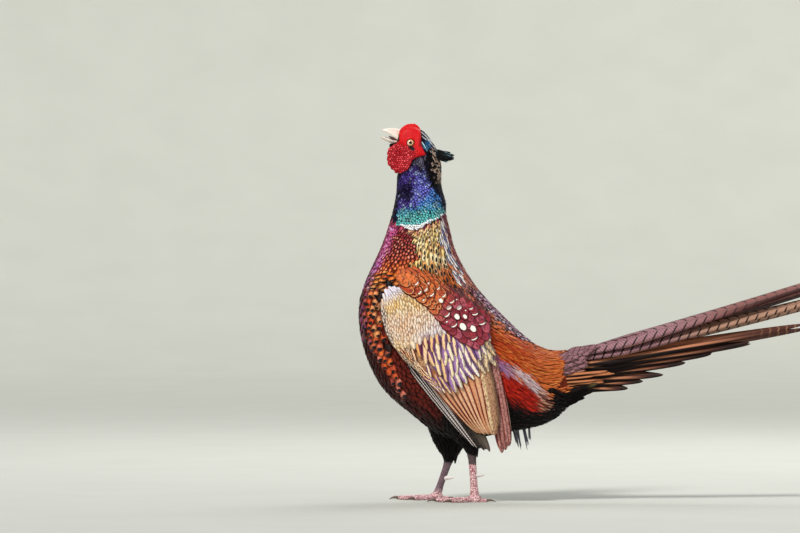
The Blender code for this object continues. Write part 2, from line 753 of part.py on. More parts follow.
def tail_vane(i, side):
    t = i / (len(TAIL_LENGTHS) - 1)
    length = TAIL_LENGTHS[i] * rng.uniform(0.975, 1.015)
    rise = math.radians(TAIL_RISES[i] + rng.uniform(-0.5, 0.5) - (0.9 if side > 0 else 0.0))
    spread = math.radians(TAIL_SPREADS[i])
    roll = math.radians(TAIL_ROLLS[i])
    root = Vector((TAIL_ROOT_X, side * (0.0050 + 0.0013 * i), blend(TAIL_TOP_Z, TAIL_LOW_Z, t)))
    parting = TAIL_PARTING * (-1) ** i
    stations = 6 if i < 3 else 4
    path, normals, inner, outer = [], [], [], []
    for u in shares(stations):
        run = length * u
        curl = -0.10 * t * run * run / length + 0.03 * (1 - t) * run * run / length
        at = root + Vector((run * math.cos(rise), side * run * math.sin(spread), run * math.sin(rise) + curl))
        path.append(at)
        normals.append(Vector((0, side * math.sin(roll), math.cos(roll))))
        taper = blend(1.0, 0.42, smooth_step(u)) if i < 3 else blend(1.0, 0.62, smooth_step(u))
        wide = blend(1.0, 0.66, t)
        outer.append(web_width(u, TAIL_OUTER_WEB * wide * taper, 0.30, 0.08))
        room = (side * (at.y - parting) - 0.0005) / math.cos(roll)
        inner.append(min(room, web_width(u, TAIL_INNER_WEB * wide * taper, 0.30, 0.08)))
    webs = (inner, outer) if side > 0 else (outer, inner)
    return vane(path, normals, *webs, 0.0010, 0.0006)


def under_tail_vane(i, side):
    t = i / (UNDER_TAIL_COVERTS - 1)
    root = Vector((0.1430, side * blend(0.003, 0.016, t), blend(0.1315, 0.1420, t)))
    drop = math.radians(blend(15.0, 8.0, t))
    length = blend(0.044, 0.036, t) * rng.uniform(0.92, 1.08)
    roll = math.radians(blend(8.0, 50.0, t))
    path, normals, webs = [], [], []
    for u in shares(4):
        run = length * u
        path.append(root + Vector((run * math.cos(drop), side * run * 0.05, run * math.sin(drop))))
        normals.append(Vector((0, side * math.sin(roll), -math.cos(roll))))
        webs.append(web_width(u, 0.0085, 0.6, 0.12))
    return vane(path, normals, webs, webs)


def make_tail(looks):
    pieces = [tail_root()]
    for i in range(len(TAIL_LENGTHS)):
        for _, side in SIDES:
            pieces.append(tail_vane(i, side))
    for i in range(UNDER_TAIL_COVERTS):
        for _, side in SIDES:
            pieces.append(under_tail_vane(i, side))
    return fused("tail", looks["tail"], pieces, [torso_cutter()])


def oval_ring(middle, half_x, half_y, sides):
    ring = []
    for k in range(sides):
        turn = math.tau * k / sides
        ring.append(middle + Vector((half_x * math.cos(turn), half_y * math.sin(turn), 0)))
    return ring


def thigh(label, swell=0.0):
    """The feathered part of a leg, from inside the belly to a flat end at the ankle."""
    top, ankle = Vector(THIGH_TOPS[label]), Vector(ANKLES[label])
    rings = []
    for t, along_x, across_y in THIGH_SHAPE:
        middle = top.lerp(ankle, t)
        if t == 1.0:
            middle.z -= swell
        rings.append(oval_ring(middle, along_x + swell, across_y + swell, 18))
    return bridged(rings)


def make_leg(looks, label, side):
    fused(f"thigh_{label}", looks["thigh"], [thigh(label)], [torso_cutter()])
    ankle, foot = Vector(ANKLES[label]), Vector(FEET[label])
    ankle.z -= GAP
    rings = []
    for t, r in SHANK_SHAPE:
        rings.append(oval_ring(ankle.lerp(foot, t), SHANK_RADIUS * r * 1.12, SHANK_RADIUS * r * 0.88, 12))
    pieces = [bridged(rings)]
    pad = Vector((foot.x, foot.y, 0.0035))
    pieces.append(tube([pad + Vector((0.007, 0, 0)), pad, pad - Vector((0.007, 0, 0))],
                       [0.0040, 0.0062, 0.0048], sides=12, floor=SOLE))
    for toe, bearing, length, radius in TOES:
        pieces.append(make_toe(looks, label, side, toe, bearing, length, radius, pad))
    tibia = ankle.lerp(foot, 0.54)
    rearward = Vector((0.96, -0.22 * side, 0.05)).normalized()
    root = tibia + rearward * 0.0035
    spur_core = tube([tibia, root + rearward * 0.0022], [0.0026, 0.0024], sides=8)
    pieces.append(spur_core)
    fused(f"shank_{label}", looks["leg"], pieces)
    start = root + rearward * (0.0022 + GAP)
    bent = [start, start + rearward * 0.004, start + rearward * 0.0075 + Vector((0, 0, 0.0004)),
            start + rearward * SPUR_LENGTH * 0.85 + Vector((0, 0, 0.0013))]
    node(f"spur_{label}", tube(bent, [0.0023, 0.0018, 0.0012, 0.0003], sides=8), looks["spur"])


def make_toe(looks, label, side, toe, bearing, length, radius, pad):
    """One toe lying on the floor, with its joints swollen, and the claw that follows it."""
    turn = math.radians(bearing)
    way = Vector((-math.cos(turn), math.sin(turn) * side, 0))
    lift = radius * 0.86
    path, radii = [], []
    raised = 0.0075 if toe == "hind" else 0.0042
    for i, u in enumerate((0.0, 0.20, 0.42, 0.58, 0.80, 1.0)):
        swell = 1.10 if i % 2 == 0 else 0.93
        height = max(lift, raised * (1 - u / 0.35) + lift * (u / 0.35)) if u < 0.35 else lift
        at = pad + way * (length * u)
        path.append(Vector((at.x, at.y, height)))
        radii.append(radius * swell * blend(1.12, 0.78, u))
    end = path[-1]
    claw = [end + way * GAP]
    for u, rise in ((0.35, 0.0006), (0.7, -0.0002), (1.0, -lift + 0.0007)):
        claw.append(end + way * (GAP + CLAW_LENGTH * u) + Vector((0, 0, rise)))
    sizes = [radius * 0.62, radius * 0.52, radius * 0.34, 0.0004]
    node(f"claw_{toe}_{label}", tube(claw, sizes, sides=6, floor=SOLE), looks["claw"])
    return tube(path, radii, sides=8, floor=SOLE)


def gather(root_x):
    """Hangs every node from one empty that puts the origin under the middle of the bounding box."""
    root = bpy.data.objects.new("pheasant", None)
    bpy.context.scene.collection.objects.link(root)
    for obj in list(bpy.data.objects):
        if obj.type == "MESH":
            obj.parent = root
    root.location = (-root_x, 0.0, 0.0)


def main():
    clear_scene()
    looks = {
        "breast": material("breast plumage", (0.35, 0.09, 0.03), 0.6),
        "neck": material("neck plumage", (0.02, 0.05, 0.16), 0.35),
        "face": material("red face skin", (0.62, 0.01, 0.02), 0.5),
        "bill": material("horn of the bill", (0.75, 0.66, 0.52), 0.35),
        "mouth": material("mouth lining", (0.45, 0.16, 0.14), 0.5),
        "eye": material("eye", (0.85, 0.45, 0.14), 0.1),
        "tuft": material("ear tuft", (0.01, 0.05, 0.05), 0.4),
        "wing": material("wing plumage", (0.62, 0.45, 0.25), 0.65),
        "tail": material("tail plumage", (0.38, 0.24, 0.17), 0.6),
        "thigh": material("thigh plumage", (0.03, 0.015, 0.012), 0.8),
        "leg": material("leg scales", (0.50, 0.36, 0.33), 0.5),
        "claw": material("claw horn", (0.22, 0.17, 0.14), 0.35),
        "spur": material("spur horn", (0.75, 0.68, 0.62), 0.35),
    }
    make_torso(looks)
    make_neck(looks)
    make_head(looks)
    make_bill(looks)
    make_tail(looks)
    for label, side in SIDES:
        make_face(looks, label, side)
        make_eye(looks, label, side)
        make_tuft(looks, label, side)
        make_wing(looks, label, side)
        make_leg(looks, label, side)
    gather(MIDDLE_X)


main()
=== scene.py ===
"""Cock common pheasant: skin, plumage, bare face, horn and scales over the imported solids.

Metres, +Z up, the bird facing -X with its left side to -Y. Lengths are laid out from a point on the floor
under the body, which lies MIDDLE_X behind the frame's origin. Places seen from the side are counted on a
grid of GRID squares, columns to the rear and rows downwards.
"""

import itertools
import math
import random

import bmesh
import bpy
import numpy as np
from mathutils import Matrix, Vector
from mathutils.kdtree import KDTree


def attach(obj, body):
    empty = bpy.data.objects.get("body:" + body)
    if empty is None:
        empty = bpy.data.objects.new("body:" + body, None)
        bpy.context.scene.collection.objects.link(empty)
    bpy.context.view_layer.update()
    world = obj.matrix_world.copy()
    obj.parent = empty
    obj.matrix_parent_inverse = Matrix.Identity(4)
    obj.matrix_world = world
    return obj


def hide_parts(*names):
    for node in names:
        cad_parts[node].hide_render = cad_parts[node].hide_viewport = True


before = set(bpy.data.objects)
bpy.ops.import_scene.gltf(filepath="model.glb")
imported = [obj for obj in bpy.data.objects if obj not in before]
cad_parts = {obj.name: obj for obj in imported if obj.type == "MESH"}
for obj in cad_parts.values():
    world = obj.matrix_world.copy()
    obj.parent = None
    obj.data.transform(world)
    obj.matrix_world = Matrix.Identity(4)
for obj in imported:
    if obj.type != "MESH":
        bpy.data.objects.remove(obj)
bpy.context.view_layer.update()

MIDDLE_X = 0.2283
GRID = 0.00125
COLUMN_0 = 460.0
ROW_0 = 501.0

# Cross-sections from the rump to the bill: back X, back Z, front X, front Z, half width.
SECTIONS = (
    (0.1325, 0.1875, 0.1430, 0.1285, 0.024),
    (0.1100, 0.1888, 0.1185, 0.1055, 0.034),
    (0.0650, 0.2194, 0.0500, 0.0870, 0.048),
    (0.0288, 0.2563, -0.0250, 0.0835, 0.0545),
    (0.0150, 0.2740, -0.0585, 0.1080, 0.0555),
    (0.0019, 0.2950, -0.0905, 0.1355, 0.0545),
    (-0.0106, 0.3263, -0.1250, 0.2200, 0.049),
    (-0.0131, 0.3375, -0.1238, 0.2538, 0.045),
    (-0.0181, 0.3600, -0.1000, 0.3125, 0.035),
    (-0.0190, 0.3765, -0.0840, 0.3600, 0.028),
    (-0.0238, 0.3950, -0.0788, 0.3888, 0.0235),
    (-0.0246, 0.4240, -0.0790, 0.4180, 0.0190),
    (-0.0338, 0.4468, -0.0795, 0.4330, 0.0165),
    (-0.0430, 0.4588, -0.0792, 0.4385, 0.0155),
    (-0.0530, 0.4668, -0.0790, 0.4415, 0.0143),
    (-0.0625, 0.4692, -0.0789, 0.4435, 0.0125),
    (-0.0700, 0.4665, -0.0789, 0.4450, 0.0103),
    (-0.0745, 0.4635, -0.0793, 0.4462, 0.0080),
)
SQUARENESS = 2.15
BELLY_SAG = 0.10

EYE_AT = (-0.0619, 0.4475)
EYE_RADIUS = 0.0062
EYE_SINK = 0.0033
LID_RADIUS = 0.0043
LOBE_STAND = 0.0095
CROWN_STAND = 0.0040

WING_BEND = (-0.0963, 0.2613)
WING_AXIS = (0.6130, -0.7901)
WING_STANDS = (
    (0.0, 0.0450), (0.045, 0.0570), (0.095, 0.0645), (0.14, 0.0665), (0.20, 0.0640), (0.25, 0.0600),
)
WING_ROUNDING = 0.110
WING_MIDDLE = 0.006

TAIL_LENGTHS = (0.455, 0.392, 0.300, 0.228, 0.180, 0.145, 0.113, 0.088, 0.068)
TAIL_RISES = (15.4, 12.8, 9.4, 8.3, 8.2, 8.2, 5.4, 4.0, 1.0)
TAIL_ROLLS = (30.0, 36.0, 42.0, 47.0, 52.0, 56.0, 60.0, 63.0, 66.0)
TAIL_SPREADS = (0.5, 0.9, 1.5, 2.2, 2.9, 3.6, 4.3, 5.0, 5.6)
TAIL_TOP_Z = 0.1838
TAIL_LOW_Z = 0.1470
TAIL_ROOT_X = 0.1400

THIGH_TOPS = {"left": (-0.0020, -0.028, 0.1180), "right": (-0.0150, 0.028, 0.1180)}
ANKLES = {"left": (0.0140, -0.0325, 0.0660), "right": (-0.0120, 0.0325, 0.0540)}
FEET = {"left": (0.0180, -0.0345, 0.0055), "right": (-0.0290, 0.0345, 0.0055)}
THIGH_SHAPE = (
    (0.0, 0.0300, 0.0210), (0.35, 0.0270, 0.0195), (0.62, 0.0215, 0.0155),
    (0.82, 0.0155, 0.0115), (0.94, 0.0105, 0.0085), (1.0, 0.0066, 0.0062),
)
SIDES = (("left", -1.0), ("right", 1.0))
PATCH = 0.003
ROOT_KEYS = ("stem", "across", "ahead", "rise", "lift", "bend", "webs", "home", "patch")
FACE_RIM = (
    (403, 126), (408, 123.8), (413, 123), (417, 124.3), (420, 127.5), (421, 133), (421, 140),
    (422, 147), (424, 151.5), (426.6, 155.4), (422, 156.2), (418, 157), (413, 160), (411, 164),
    (410, 168), (405, 173), (399, 175), (392, 171), (388, 167), (386, 158), (387, 150), (391, 146),
    (398, 143), (398.4, 138), (398.6, 132),
)
KEPT_KEYS = ("place", "mark")
BODY_END = 0.0005
BODY_PLACES = 90000
NECK_PLACES = 60000
WING_PLACES = 26000
SECOND_CHANCE = 7.31
FLOOR_SIDES = 96


def rounded(points):
    """Cuts the corners of a closed outline, twice over."""
    points = np.asarray(points, float)
    for _ in range(2):
        after = np.roll(points, -1, axis=0)
        pairs = [0.75 * points + 0.25 * after, 0.25 * points + 0.75 * after]
        points = np.stack(pairs, axis=1).reshape(-1, 2)
    return points


def rim_table():
    """Turn round the eye and distance of the bare face's rim, sorted by turn."""
    rim = rounded(FACE_RIM)
    dx = COLUMN_0 + EYE_AT[0] / GRID - rim[:, 0]
    dz = ROW_0 - EYE_AT[1] / GRID - rim[:, 1]
    order = np.argsort(np.arctan2(dz, dx))
    return np.degrees(np.arctan2(dz, dx))[order], np.hypot(dx, dz)[order] * GRID


RIM_TURNS, RIM_REACHES = rim_table()


def face_reach(degrees):
    return np.interp(degrees, RIM_TURNS, RIM_REACHES, period=360)


# Curves and surfaces of the body

def line(rows, at):
    """Reads a table of pairs at places between them."""
    return np.interp(at, [a for a, _ in rows], [b for _, b in rows])


def columns(*values):
    """Rows of numbers, one column for each value."""
    return np.column_stack(values)


def smooth(t):
    t = np.clip(t, 0.0, 1.0)
    return t * t * (3 - 2 * t)


class Spline:
    """A natural cubic spline through rows of values, one row for each knot."""

    def __init__(self, knots, rows):
        self.knots = np.asarray(knots, float)
        self.rows = np.asarray(rows, float).reshape(len(self.knots), -1)
        count = len(self.knots)
        step = np.diff(self.knots)
        matrix = np.eye(count)
        right = np.zeros_like(self.rows)
        for i in range(1, count - 1):
            matrix[i, i - 1 : i + 2] = step[i - 1], 2 * (step[i - 1] + step[i]), step[i]
            ahead = (self.rows[i + 1] - self.rows[i]) / step[i]
            behind = (self.rows[i] - self.rows[i - 1]) / step[i - 1]
            right[i] = 6 * (ahead - behind)
        self.bends = np.linalg.solve(matrix, right)

    def __call__(self, x):
        x = np.atleast_1d(np.asarray(x, float))
        i = np.clip(np.searchsorted(self.knots, x) - 1, 0, len(self.knots) - 2)
        step = (self.knots[i + 1] - self.knots[i])[:, None]
        a = (self.knots[i + 1] - x)[:, None] / step
        b = 1 - a
        curve = (a**3 - a) * self.bends[i] + (b**3 - b) * self.bends[i + 1]
        return a * self.rows[i] + b * self.rows[i + 1] + curve * step * step / 6


def section_knots():
    rows = np.asarray(SECTIONS)
    back = np.linalg.norm(np.diff(rows[:, 0:2], axis=0), axis=1)
    front = np.linalg.norm(np.diff(rows[:, 2:4], axis=0), axis=1)
    return np.concatenate([[0.0], np.cumsum((back + front) / 2)])


KNOTS = section_knots()
BODY = Spline(KNOTS, SECTIONS)
WING_STAND = Spline([l for l, _ in WING_STANDS], [[y] for _, y in WING_STANDS])


def along(number):
    return float(np.interp(number, range(len(KNOTS)), KNOTS))


NECK_AT = along(7.6)
HEAD_AT = along(11.3)
SAG_END = along(8)


def body_points(s, turn, swell=0.0):
    """Points of the body's surface: s along it, turn round it from the back (0) by the left side."""
    rows = BODY(np.clip(s, 0.0, KNOTS[-1]))
    back = columns(rows[:, 0], np.zeros(len(rows)), rows[:, 1])
    front = columns(rows[:, 2], np.zeros(len(rows)), rows[:, 3])
    up = back - front
    half = np.linalg.norm(up, axis=1) / 2
    up /= 2 * half[:, None]
    power = 2 / SQUARENESS
    c, n = np.cos(turn), np.sin(turn)
    sag = BELLY_SAG * (1 - smooth(np.asarray(s) / SAG_END))
    lift = np.sign(c) * np.abs(c) ** power * (half + swell)
    side = np.sign(n) * np.abs(n) ** power * (1 - sag * c) * (rows[:, 4] + swell)
    points = (back + front) / 2 + up * lift[:, None]
    points[:, 1] -= side
    return points


def unit(v):
    return v / np.maximum(np.linalg.norm(v, axis=-1, keepdims=True), 1e-12)


def body_frame(s, turn):
    """Point, way of the lie, outward normal, and how far one unit of s and of turn goes."""
    ds, dt = 0.0006, 0.01
    p = body_points(s, turn)
    by_s = (body_points(s + ds, turn) - body_points(s - ds, turn)) / (2 * ds)
    by_turn = (body_points(s, turn + dt) - body_points(s, turn - dt)) / (2 * dt)
    normal = unit(np.cross(by_turn, by_s))
    rows = BODY(np.clip(s, 0.0, KNOTS[-1]))
    middle = columns((rows[:, 0] + rows[:, 2]) / 2, np.zeros(len(rows)), (rows[:, 1] + rows[:, 3]) / 2)
    out = np.sign(np.sum(normal * (p - middle), axis=1, keepdims=True))
    return p, unit(-by_s), normal * out, np.linalg.norm(by_s, axis=1), np.linalg.norm(by_turn, axis=1)


SIDE_STEPS = np.linspace(0.0, KNOTS[-1], 160)
SIDE_ROWS = BODY(SIDE_STEPS)


def surface_y(x, z):
    """Half width of the body where a line across it meets the side view's point, 0 outside it."""
    bx, bz, fx, fz, wide = SIDE_ROWS.T
    beyond = (x - fx) * (bz - fz) - (z - fz) * (bx - fx)
    best = 0.0
    for i in np.nonzero((beyond[:-1] > 0) != (beyond[1:] > 0))[0]:
        t = beyond[i] / (beyond[i] - beyond[i + 1])
        back = np.array([bx[i] + t * (bx[i + 1] - bx[i]), bz[i] + t * (bz[i + 1] - bz[i])])
        front = np.array([fx[i] + t * (fx[i + 1] - fx[i]), fz[i] + t * (fz[i + 1] - fz[i])])
        half = np.linalg.norm(back - front) / 2
        lift = float((np.array([x, z]) - (back + front) / 2) @ (back - front) / (2 * half))
        if abs(lift) < half:
            s = SIDE_STEPS[i] + t * (SIDE_STEPS[i + 1] - SIDE_STEPS[i])
            c = math.copysign((abs(lift) / half) ** (SQUARENESS / 2), lift)
            sag = BELLY_SAG * (1 - float(smooth(s / SAG_END)))
            width = wide[i] + t * (wide[i + 1] - wide[i])
            best = max(best, (1 - c * c) ** (1 / SQUARENESS) * (1 - sag * c) * width)
    return best


def to_grid(p):
    """Column and row of points in the side view."""
    p = np.asarray(p)
    return COLUMN_0 + p[..., 0] / GRID, ROW_0 - p[..., 2] / GRID


def from_grid(column, row):
    return (np.asarray(column) - COLUMN_0) * GRID, (ROW_0 - np.asarray(row)) * GRID


# Materials

def paint(r, g, b):
    """A colour given in display values from 0 to 255, as light."""
    out = []
    for v in (r, g, b):
        v /= 255
        out.append(v / 12.92 if v <= 0.04045 else ((v + 0.055) / 1.055) ** 2.4)
    return (*out, 1.0)


class Value:
    """A socket whose arithmetic adds Math nodes."""

    def __init__(self, tree, socket):
        self.tree = tree
        self.socket = socket

    def math(self, kind, *others):
        return self.tree.add("ShaderNodeMath", {"operation": kind}, dict(enumerate((self, *others))))

    def __add__(self, other):
        return self.math("ADD", other)

    __radd__ = __add__

    def __sub__(self, other):
        return self.math("SUBTRACT", other)

    def __rsub__(self, other):
        return (self * -1.0) + other

    def __mul__(self, other):
        return self.math("MULTIPLY", other)

    __rmul__ = __mul__

    def __truediv__(self, other):
        return self.math("DIVIDE", other)

    def __pow__(self, other):
        return self.math("POWER", other)

    def __abs__(self):
        return self.math("ABSOLUTE")

    def least(self, other):
        return self.math("MINIMUM", other)

    def most(self, other):
        return self.math("MAXIMUM", other)

    def lay(self, share, coat):
        """Lays a coat over this colour: how much of it, and its colour."""
        self.socket = self.tree.mix(share, self, coat).socket

    def wave(self):
        """A sine wave that repeats with every unit."""
        return (self * math.tau).math("SINE")

    def step(self, low, high):
        """0 at low, 1 at high, smooth between."""
        sockets = {0: self, 1: low, 2: high, 3: 0.0, 4: 1.0}
        return self.tree.add("ShaderNodeMapRange", {"interpolation_type": "SMOOTHSTEP"}, sockets)

    def band(self, low, high, soft):
        """1 between low and high, falling to 0 over soft outside them."""
        return self.step(low - soft, low) * self.step(high + soft, high)


def oval(x, y, half_x, half_y):
    """Squared distance from the middle of an oval, 1 on its outline."""
    return (x / half_x) ** 2.0 + (y / half_y) ** 2.0


class Nodes:
    """A node tree and the ways to add nodes to it."""

    def __init__(self, tree):
        self.tree = tree
        self.known = {}

    def node(self, kind, settings=None, sockets=None):
        made = self.tree.nodes.new(kind)
        for key, value in (settings or {}).items():
            setattr(made, key, value)
        for key, value in (sockets or {}).items():
            socket = made.inputs[key]
            if isinstance(value, Value):
                self.tree.links.new(value.socket, socket)
            else:
                socket.default_value = value
        return made

    def out(self, made, name):
        return Value(self, made.outputs[name])

    def add(self, kind, settings=None, sockets=None, name=0):
        return self.out(self.node(kind, settings, sockets), name)

    def parts(self, vector):
        made = self.node("ShaderNodeSeparateXYZ", None, {0: vector})
        return [self.out(made, i) for i in range(3)]

    def once(self, key, make):
        if key not in self.known:
            self.known[key] = make()
        return self.known[key]


class Finish(Nodes):
    """One material and the ways to colour it."""

    def __init__(self, name):
        self.material = bpy.data.materials.new(name)
        self.material.use_nodes = True
        super().__init__(self.material.node_tree)
        self.tree.nodes.clear()

    def vane(self):
        """Across a feather from -1 to 1, and along it from 0 at the quill to 1 at the tip."""
        def make():
            x, y, _ = self.parts(self.add("ShaderNodeUVMap", {"uv_map": "vane"}))
            return x * 2.0 - 1.0, y
        return self.once("vane", make)

    def read(self, name, output="Vector"):
        """What the piece keeps under a name: a vector's three parts, or one number."""
        def make():
            settings = {"attribute_name": name, "attribute_type": "GEOMETRY"}
            value = self.add("ShaderNodeAttribute", settings, None, output)
            return self.parts(value) if output == "Vector" else value
        return self.once(name, make)

    def spot(self):
        """Object coordinates."""
        return self.once("spot", lambda: self.add("ShaderNodeTexCoord", name="Object"))

    def here(self):
        """Column and row in the side view of the point itself."""
        def make():
            x, _, z = self.parts(self.spot())
            return x / GRID + (COLUMN_0 + MIDDLE_X / GRID), ROW_0 - z / GRID
        return self.once("here", make)

    def mix(self, share, a, b):
        """Colour b laid over colour a; three numbers are a colour's display values."""
        a, b = (paint(*c) if isinstance(c, tuple) and len(c) == 3 else c for c in (a, b))
        return self.add("ShaderNodeMix", {"data_type": "RGBA"}, {0: share, 6: a, 7: b}, 2)

    def noise(self, scale, detail=3.0, rough=0.6, stretch=None):
        vector = self.spot()
        if stretch:
            vector = self.add("ShaderNodeMapping", None, {0: vector, "Scale": stretch})
        sockets = {"Vector": vector, "Scale": scale, "Detail": detail, "Roughness": rough}
        return self.add("ShaderNodeTexNoise", None, sockets)

    def cells(self, scale, feature="F1"):
        sockets = {"Vector": self.spot(), "Scale": scale}
        return self.add("ShaderNodeTexVoronoi", {"feature": feature}, sockets, "Distance")

    def bump(self, height, strength, distance):
        sockets = {"Strength": strength, "Distance": distance, "Height": height}
        return self.add("ShaderNodeBump", None, sockets, "Normal")

    def close(self, colour, roughness, normal=None, metallic=0.0, **constants):
        sockets = {"Base Color": colour, "Roughness": roughness, "Metallic": metallic}
        if normal is not None:
            sockets["Normal"] = normal
        for key, value in constants.items():
            sockets[key.replace("_", " ")] = value
        shader = self.add("ShaderNodeBsdfPrincipled", None, sockets)
        self.node("ShaderNodeOutputMaterial", None, {"Surface": shader})
        return self.material

    def plume(self, colour, roughness, pitch, gloss, slant=0.5, depth=0.3, metallic=0.0):
        """Closes a feather's finish, with a bump of fine barbs that slant off the shaft, and its ridge."""
        x, y = self.vane()
        barbs = ((y - abs(x) * slant) * (pitch * math.tau)).math("SINE") * 0.5 + 0.5
        ridge = abs(x).step(0.10, 0.02)
        bump = self.bump(barbs * 0.6 + ridge, depth, 0.0004)
        return self.close(colour, roughness, bump, metallic, Specular_IOR_Level=gloss)


# The vane tree

VANE_INPUTS = {"Stations": "Int", "Sides": "Int"}
VANE_INPUTS.update(dict.fromkeys(("Taper", "Widest", "Quill", "Thickness"), "Float"))
TIP_PACKING = 1.4
WEB_SWELL = 0.7
TIP_EDGE = 0.004
TIP_THINNING = 0.6


class Vanes(Nodes):
    """A Geometry Nodes tree that grows one solid vane on every point it is given."""

    def __init__(self, name, material, *shape):
        super().__init__(bpy.data.node_groups.new(name, "GeometryNodeTree"))
        self.values = dict(zip(VANE_INPUTS, shape))
        face = self.tree.interface
        face.new_socket("Roots", in_out="INPUT", socket_type="NodeSocketGeometry")
        for key, kind in VANE_INPUTS.items():
            face.new_socket(key, in_out="INPUT", socket_type=f"NodeSocket{kind}")
        face.new_socket("Vanes", in_out="OUTPUT", socket_type="NodeSocketGeometry")
        self.build(material)

    def named(self, name):
        return self.add("GeometryNodeInputNamedAttribute", {"data_type": "FLOAT_VECTOR"}, {"Name": name})

    def vector(self, *parts):
        return self.add("ShaderNodeCombineXYZ", None, dict(enumerate(parts)))

    def store(self, geometry, name, kind, domain, value):
        settings = {"data_type": kind, "domain": domain}
        sockets = {"Geometry": geometry, "Name": name, "Value": value}
        return self.add("GeometryNodeStoreNamedAttribute", settings, sockets)

    def build(self, material):
        entry = self.node("NodeGroupInput")
        roots = self.out(entry, "Roots")
        stations, sides, taper, widest, quill, thick = (self.out(entry, key) for key in VANE_INPUTS)
        sockets = {"Vertices": sides, "Side Segments": stations, "Radius": 1.0, "Depth": 1.0}
        rod = self.add("GeometryNodeMeshCylinder", {"fill_type": "NGON"}, sockets, "Mesh")
        x, y, z = self.parts(self.add("GeometryNodeInputPosition"))
        down = 1.0 - (1.0 - (z + 0.5)) ** TIP_PACKING
        web = quill + (1.0 - quill) * (down / widest).least(1.0) ** WEB_SWELL
        past = ((down - widest) / (1.0 - widest)).most(0.0)
        fade = (1.0 - past ** taper).most(TIP_EDGE).math("SQRT")
        rod = self.store(rod, "cut", "FLOAT_VECTOR", "POINT", self.vector(x * (web * fade), down, y))
        cx, cy, cz = self.parts(self.named("cut"))
        rod = self.store(rod, "vane", "FLOAT2", "CORNER", self.vector(cx * 0.5 + 0.5, cy))
        grown = self.add("GeometryNodeInstanceOnPoints", None, {"Points": roots, "Instance": rod})
        real = self.add("GeometryNodeRealizeInstances", None, {"Geometry": grown})
        lift, webs, home, patch = (self.parts(self.named(key)) for key in ("lift", "webs", "home", "patch"))
        side = cx.least(0.0) * webs[0] + cx.most(0.0) * webs[1]
        high = cz * (thick * (1.0 - cy * TIP_THINNING)) + cy * lift[0]
        high = high + cy * cy * lift[1] + cx * cx * lift[2]
        at = self.named("stem")
        for key, share in (("across", side), ("ahead", cy), ("rise", high), ("bend", cy * cy)):
            sockets = {0: self.named(key), "Scale": share}
            way = self.add("ShaderNodeVectorMath", {"operation": "SCALE"}, sockets)
            at = self.add("ShaderNodeVectorMath", {"operation": "ADD"}, {0: at, 1: way})
        real = self.add("GeometryNodeSetPosition", None, {"Geometry": real, "Position": at})
        unwrap = self.vector(home[0] + patch[0] * cx, home[1] + patch[1] * (cy - 0.5))
        real = self.store(real, "OFBake", "FLOAT2", "CORNER", unwrap)
        real = self.add("GeometryNodeSetShadeSmooth", None, {"Geometry": real})
        real = self.add("GeometryNodeSetMaterial", None, {"Geometry": real, "Material": material})
        self.node("NodeGroupOutput", None, {0: real})

    def grow(self, name, roots):
        """Makes the piece of a set of roots, as a plain mesh."""
        mesh = bpy.data.meshes.new(name)
        mesh.from_pydata([tuple(p) for p in roots["stem"]], [], [])
        for key in (*ROOT_KEYS, *KEPT_KEYS):
            layer = mesh.attributes.new(key, "FLOAT_VECTOR", "POINT")
            layer.data.foreach_set("vector", np.asarray(roots[key], np.float32).ravel())
        piece = linked(name, mesh)
        worker = piece.modifiers.new("vanes", "NODES")
        worker.node_group = self.tree
        for item in self.tree.interface.items_tree:
            if item.in_out == "INPUT" and item.name in self.values:
                worker[item.identifier] = self.values[item.name]
        graph = bpy.context.evaluated_depsgraph_get()
        plain = bpy.data.meshes.new_from_object(piece.evaluated_get(graph))
        piece.modifiers.clear()
        piece.data = plain
        plain.name = name
        for key in (*ROOT_KEYS, "cut"):
            if key in plain.attributes:
                plain.attributes.remove(plain.attributes[key])
        plain.transform(Matrix.Translation((-MIDDLE_X, 0, 0)))
        plain.uv_layers["OFBake"].active_render = True
        return piece


def linked(name, data):
    """A new object of the scene."""
    piece = bpy.data.objects.new(name, data)
    bpy.context.scene.collection.objects.link(piece)
    return piece


def roots_of(
    stem, ahead, rise, length, width, lift, place, home, patch=None, webs=None, bend=None, mark=None
):
    """Gathers what the vane tree reads from every root. ahead and rise are directions."""
    stem, ahead = np.asarray(stem, float), unit(np.asarray(ahead, float))
    rise = np.asarray(rise, float)
    rise = unit(rise - ahead * np.sum(rise * ahead, axis=1, keepdims=True))
    across = np.cross(rise, ahead)
    count = len(stem)
    length, width = np.broadcast_to(length, count), np.broadcast_to(width, count)
    blank = np.zeros((count, 3))
    return {
        "stem": stem, "across": across * width[:, None] / 2, "ahead": ahead * length[:, None], "rise": rise,
        "lift": lift, "home": home, "place": place,
        "bend": blank if bend is None else bend,
        "webs": blank + 1.0 if webs is None else webs,
        "patch": blank + (PATCH / 2, PATCH, 0.0) if patch is None else patch,
        "mark": blank if mark is None else mark,
    }


# Setting out the roots on the body

def spread(points, lie, normal, pace_long, pace_side, order):
    """Greedy packing: keeps the candidates that are a pace or more from every one kept before."""
    side = np.cross(normal, lie)
    cell = float(max(pace_long.max(), pace_side.max()))
    keys = np.floor(points / cell).astype(int).tolist()
    kept, grid = [], {}
    for i in order:
        x, y, z = keys[i]
        for dx, dy, dz in itertools.product((-1, 0, 1), repeat=3):
            near = grid.get((x + dx, y + dy, z + dz))
            if near:
                d = points[near] - points[i]
                a = d @ lie[i] / pace_long[i]
                b = d @ side[i] / pace_side[i]
                if np.any(a * a + b * b < 1.0):
                    break
        else:
            grid.setdefault((x, y, z), []).append(i)
            kept.append(i)
    return np.array(kept)


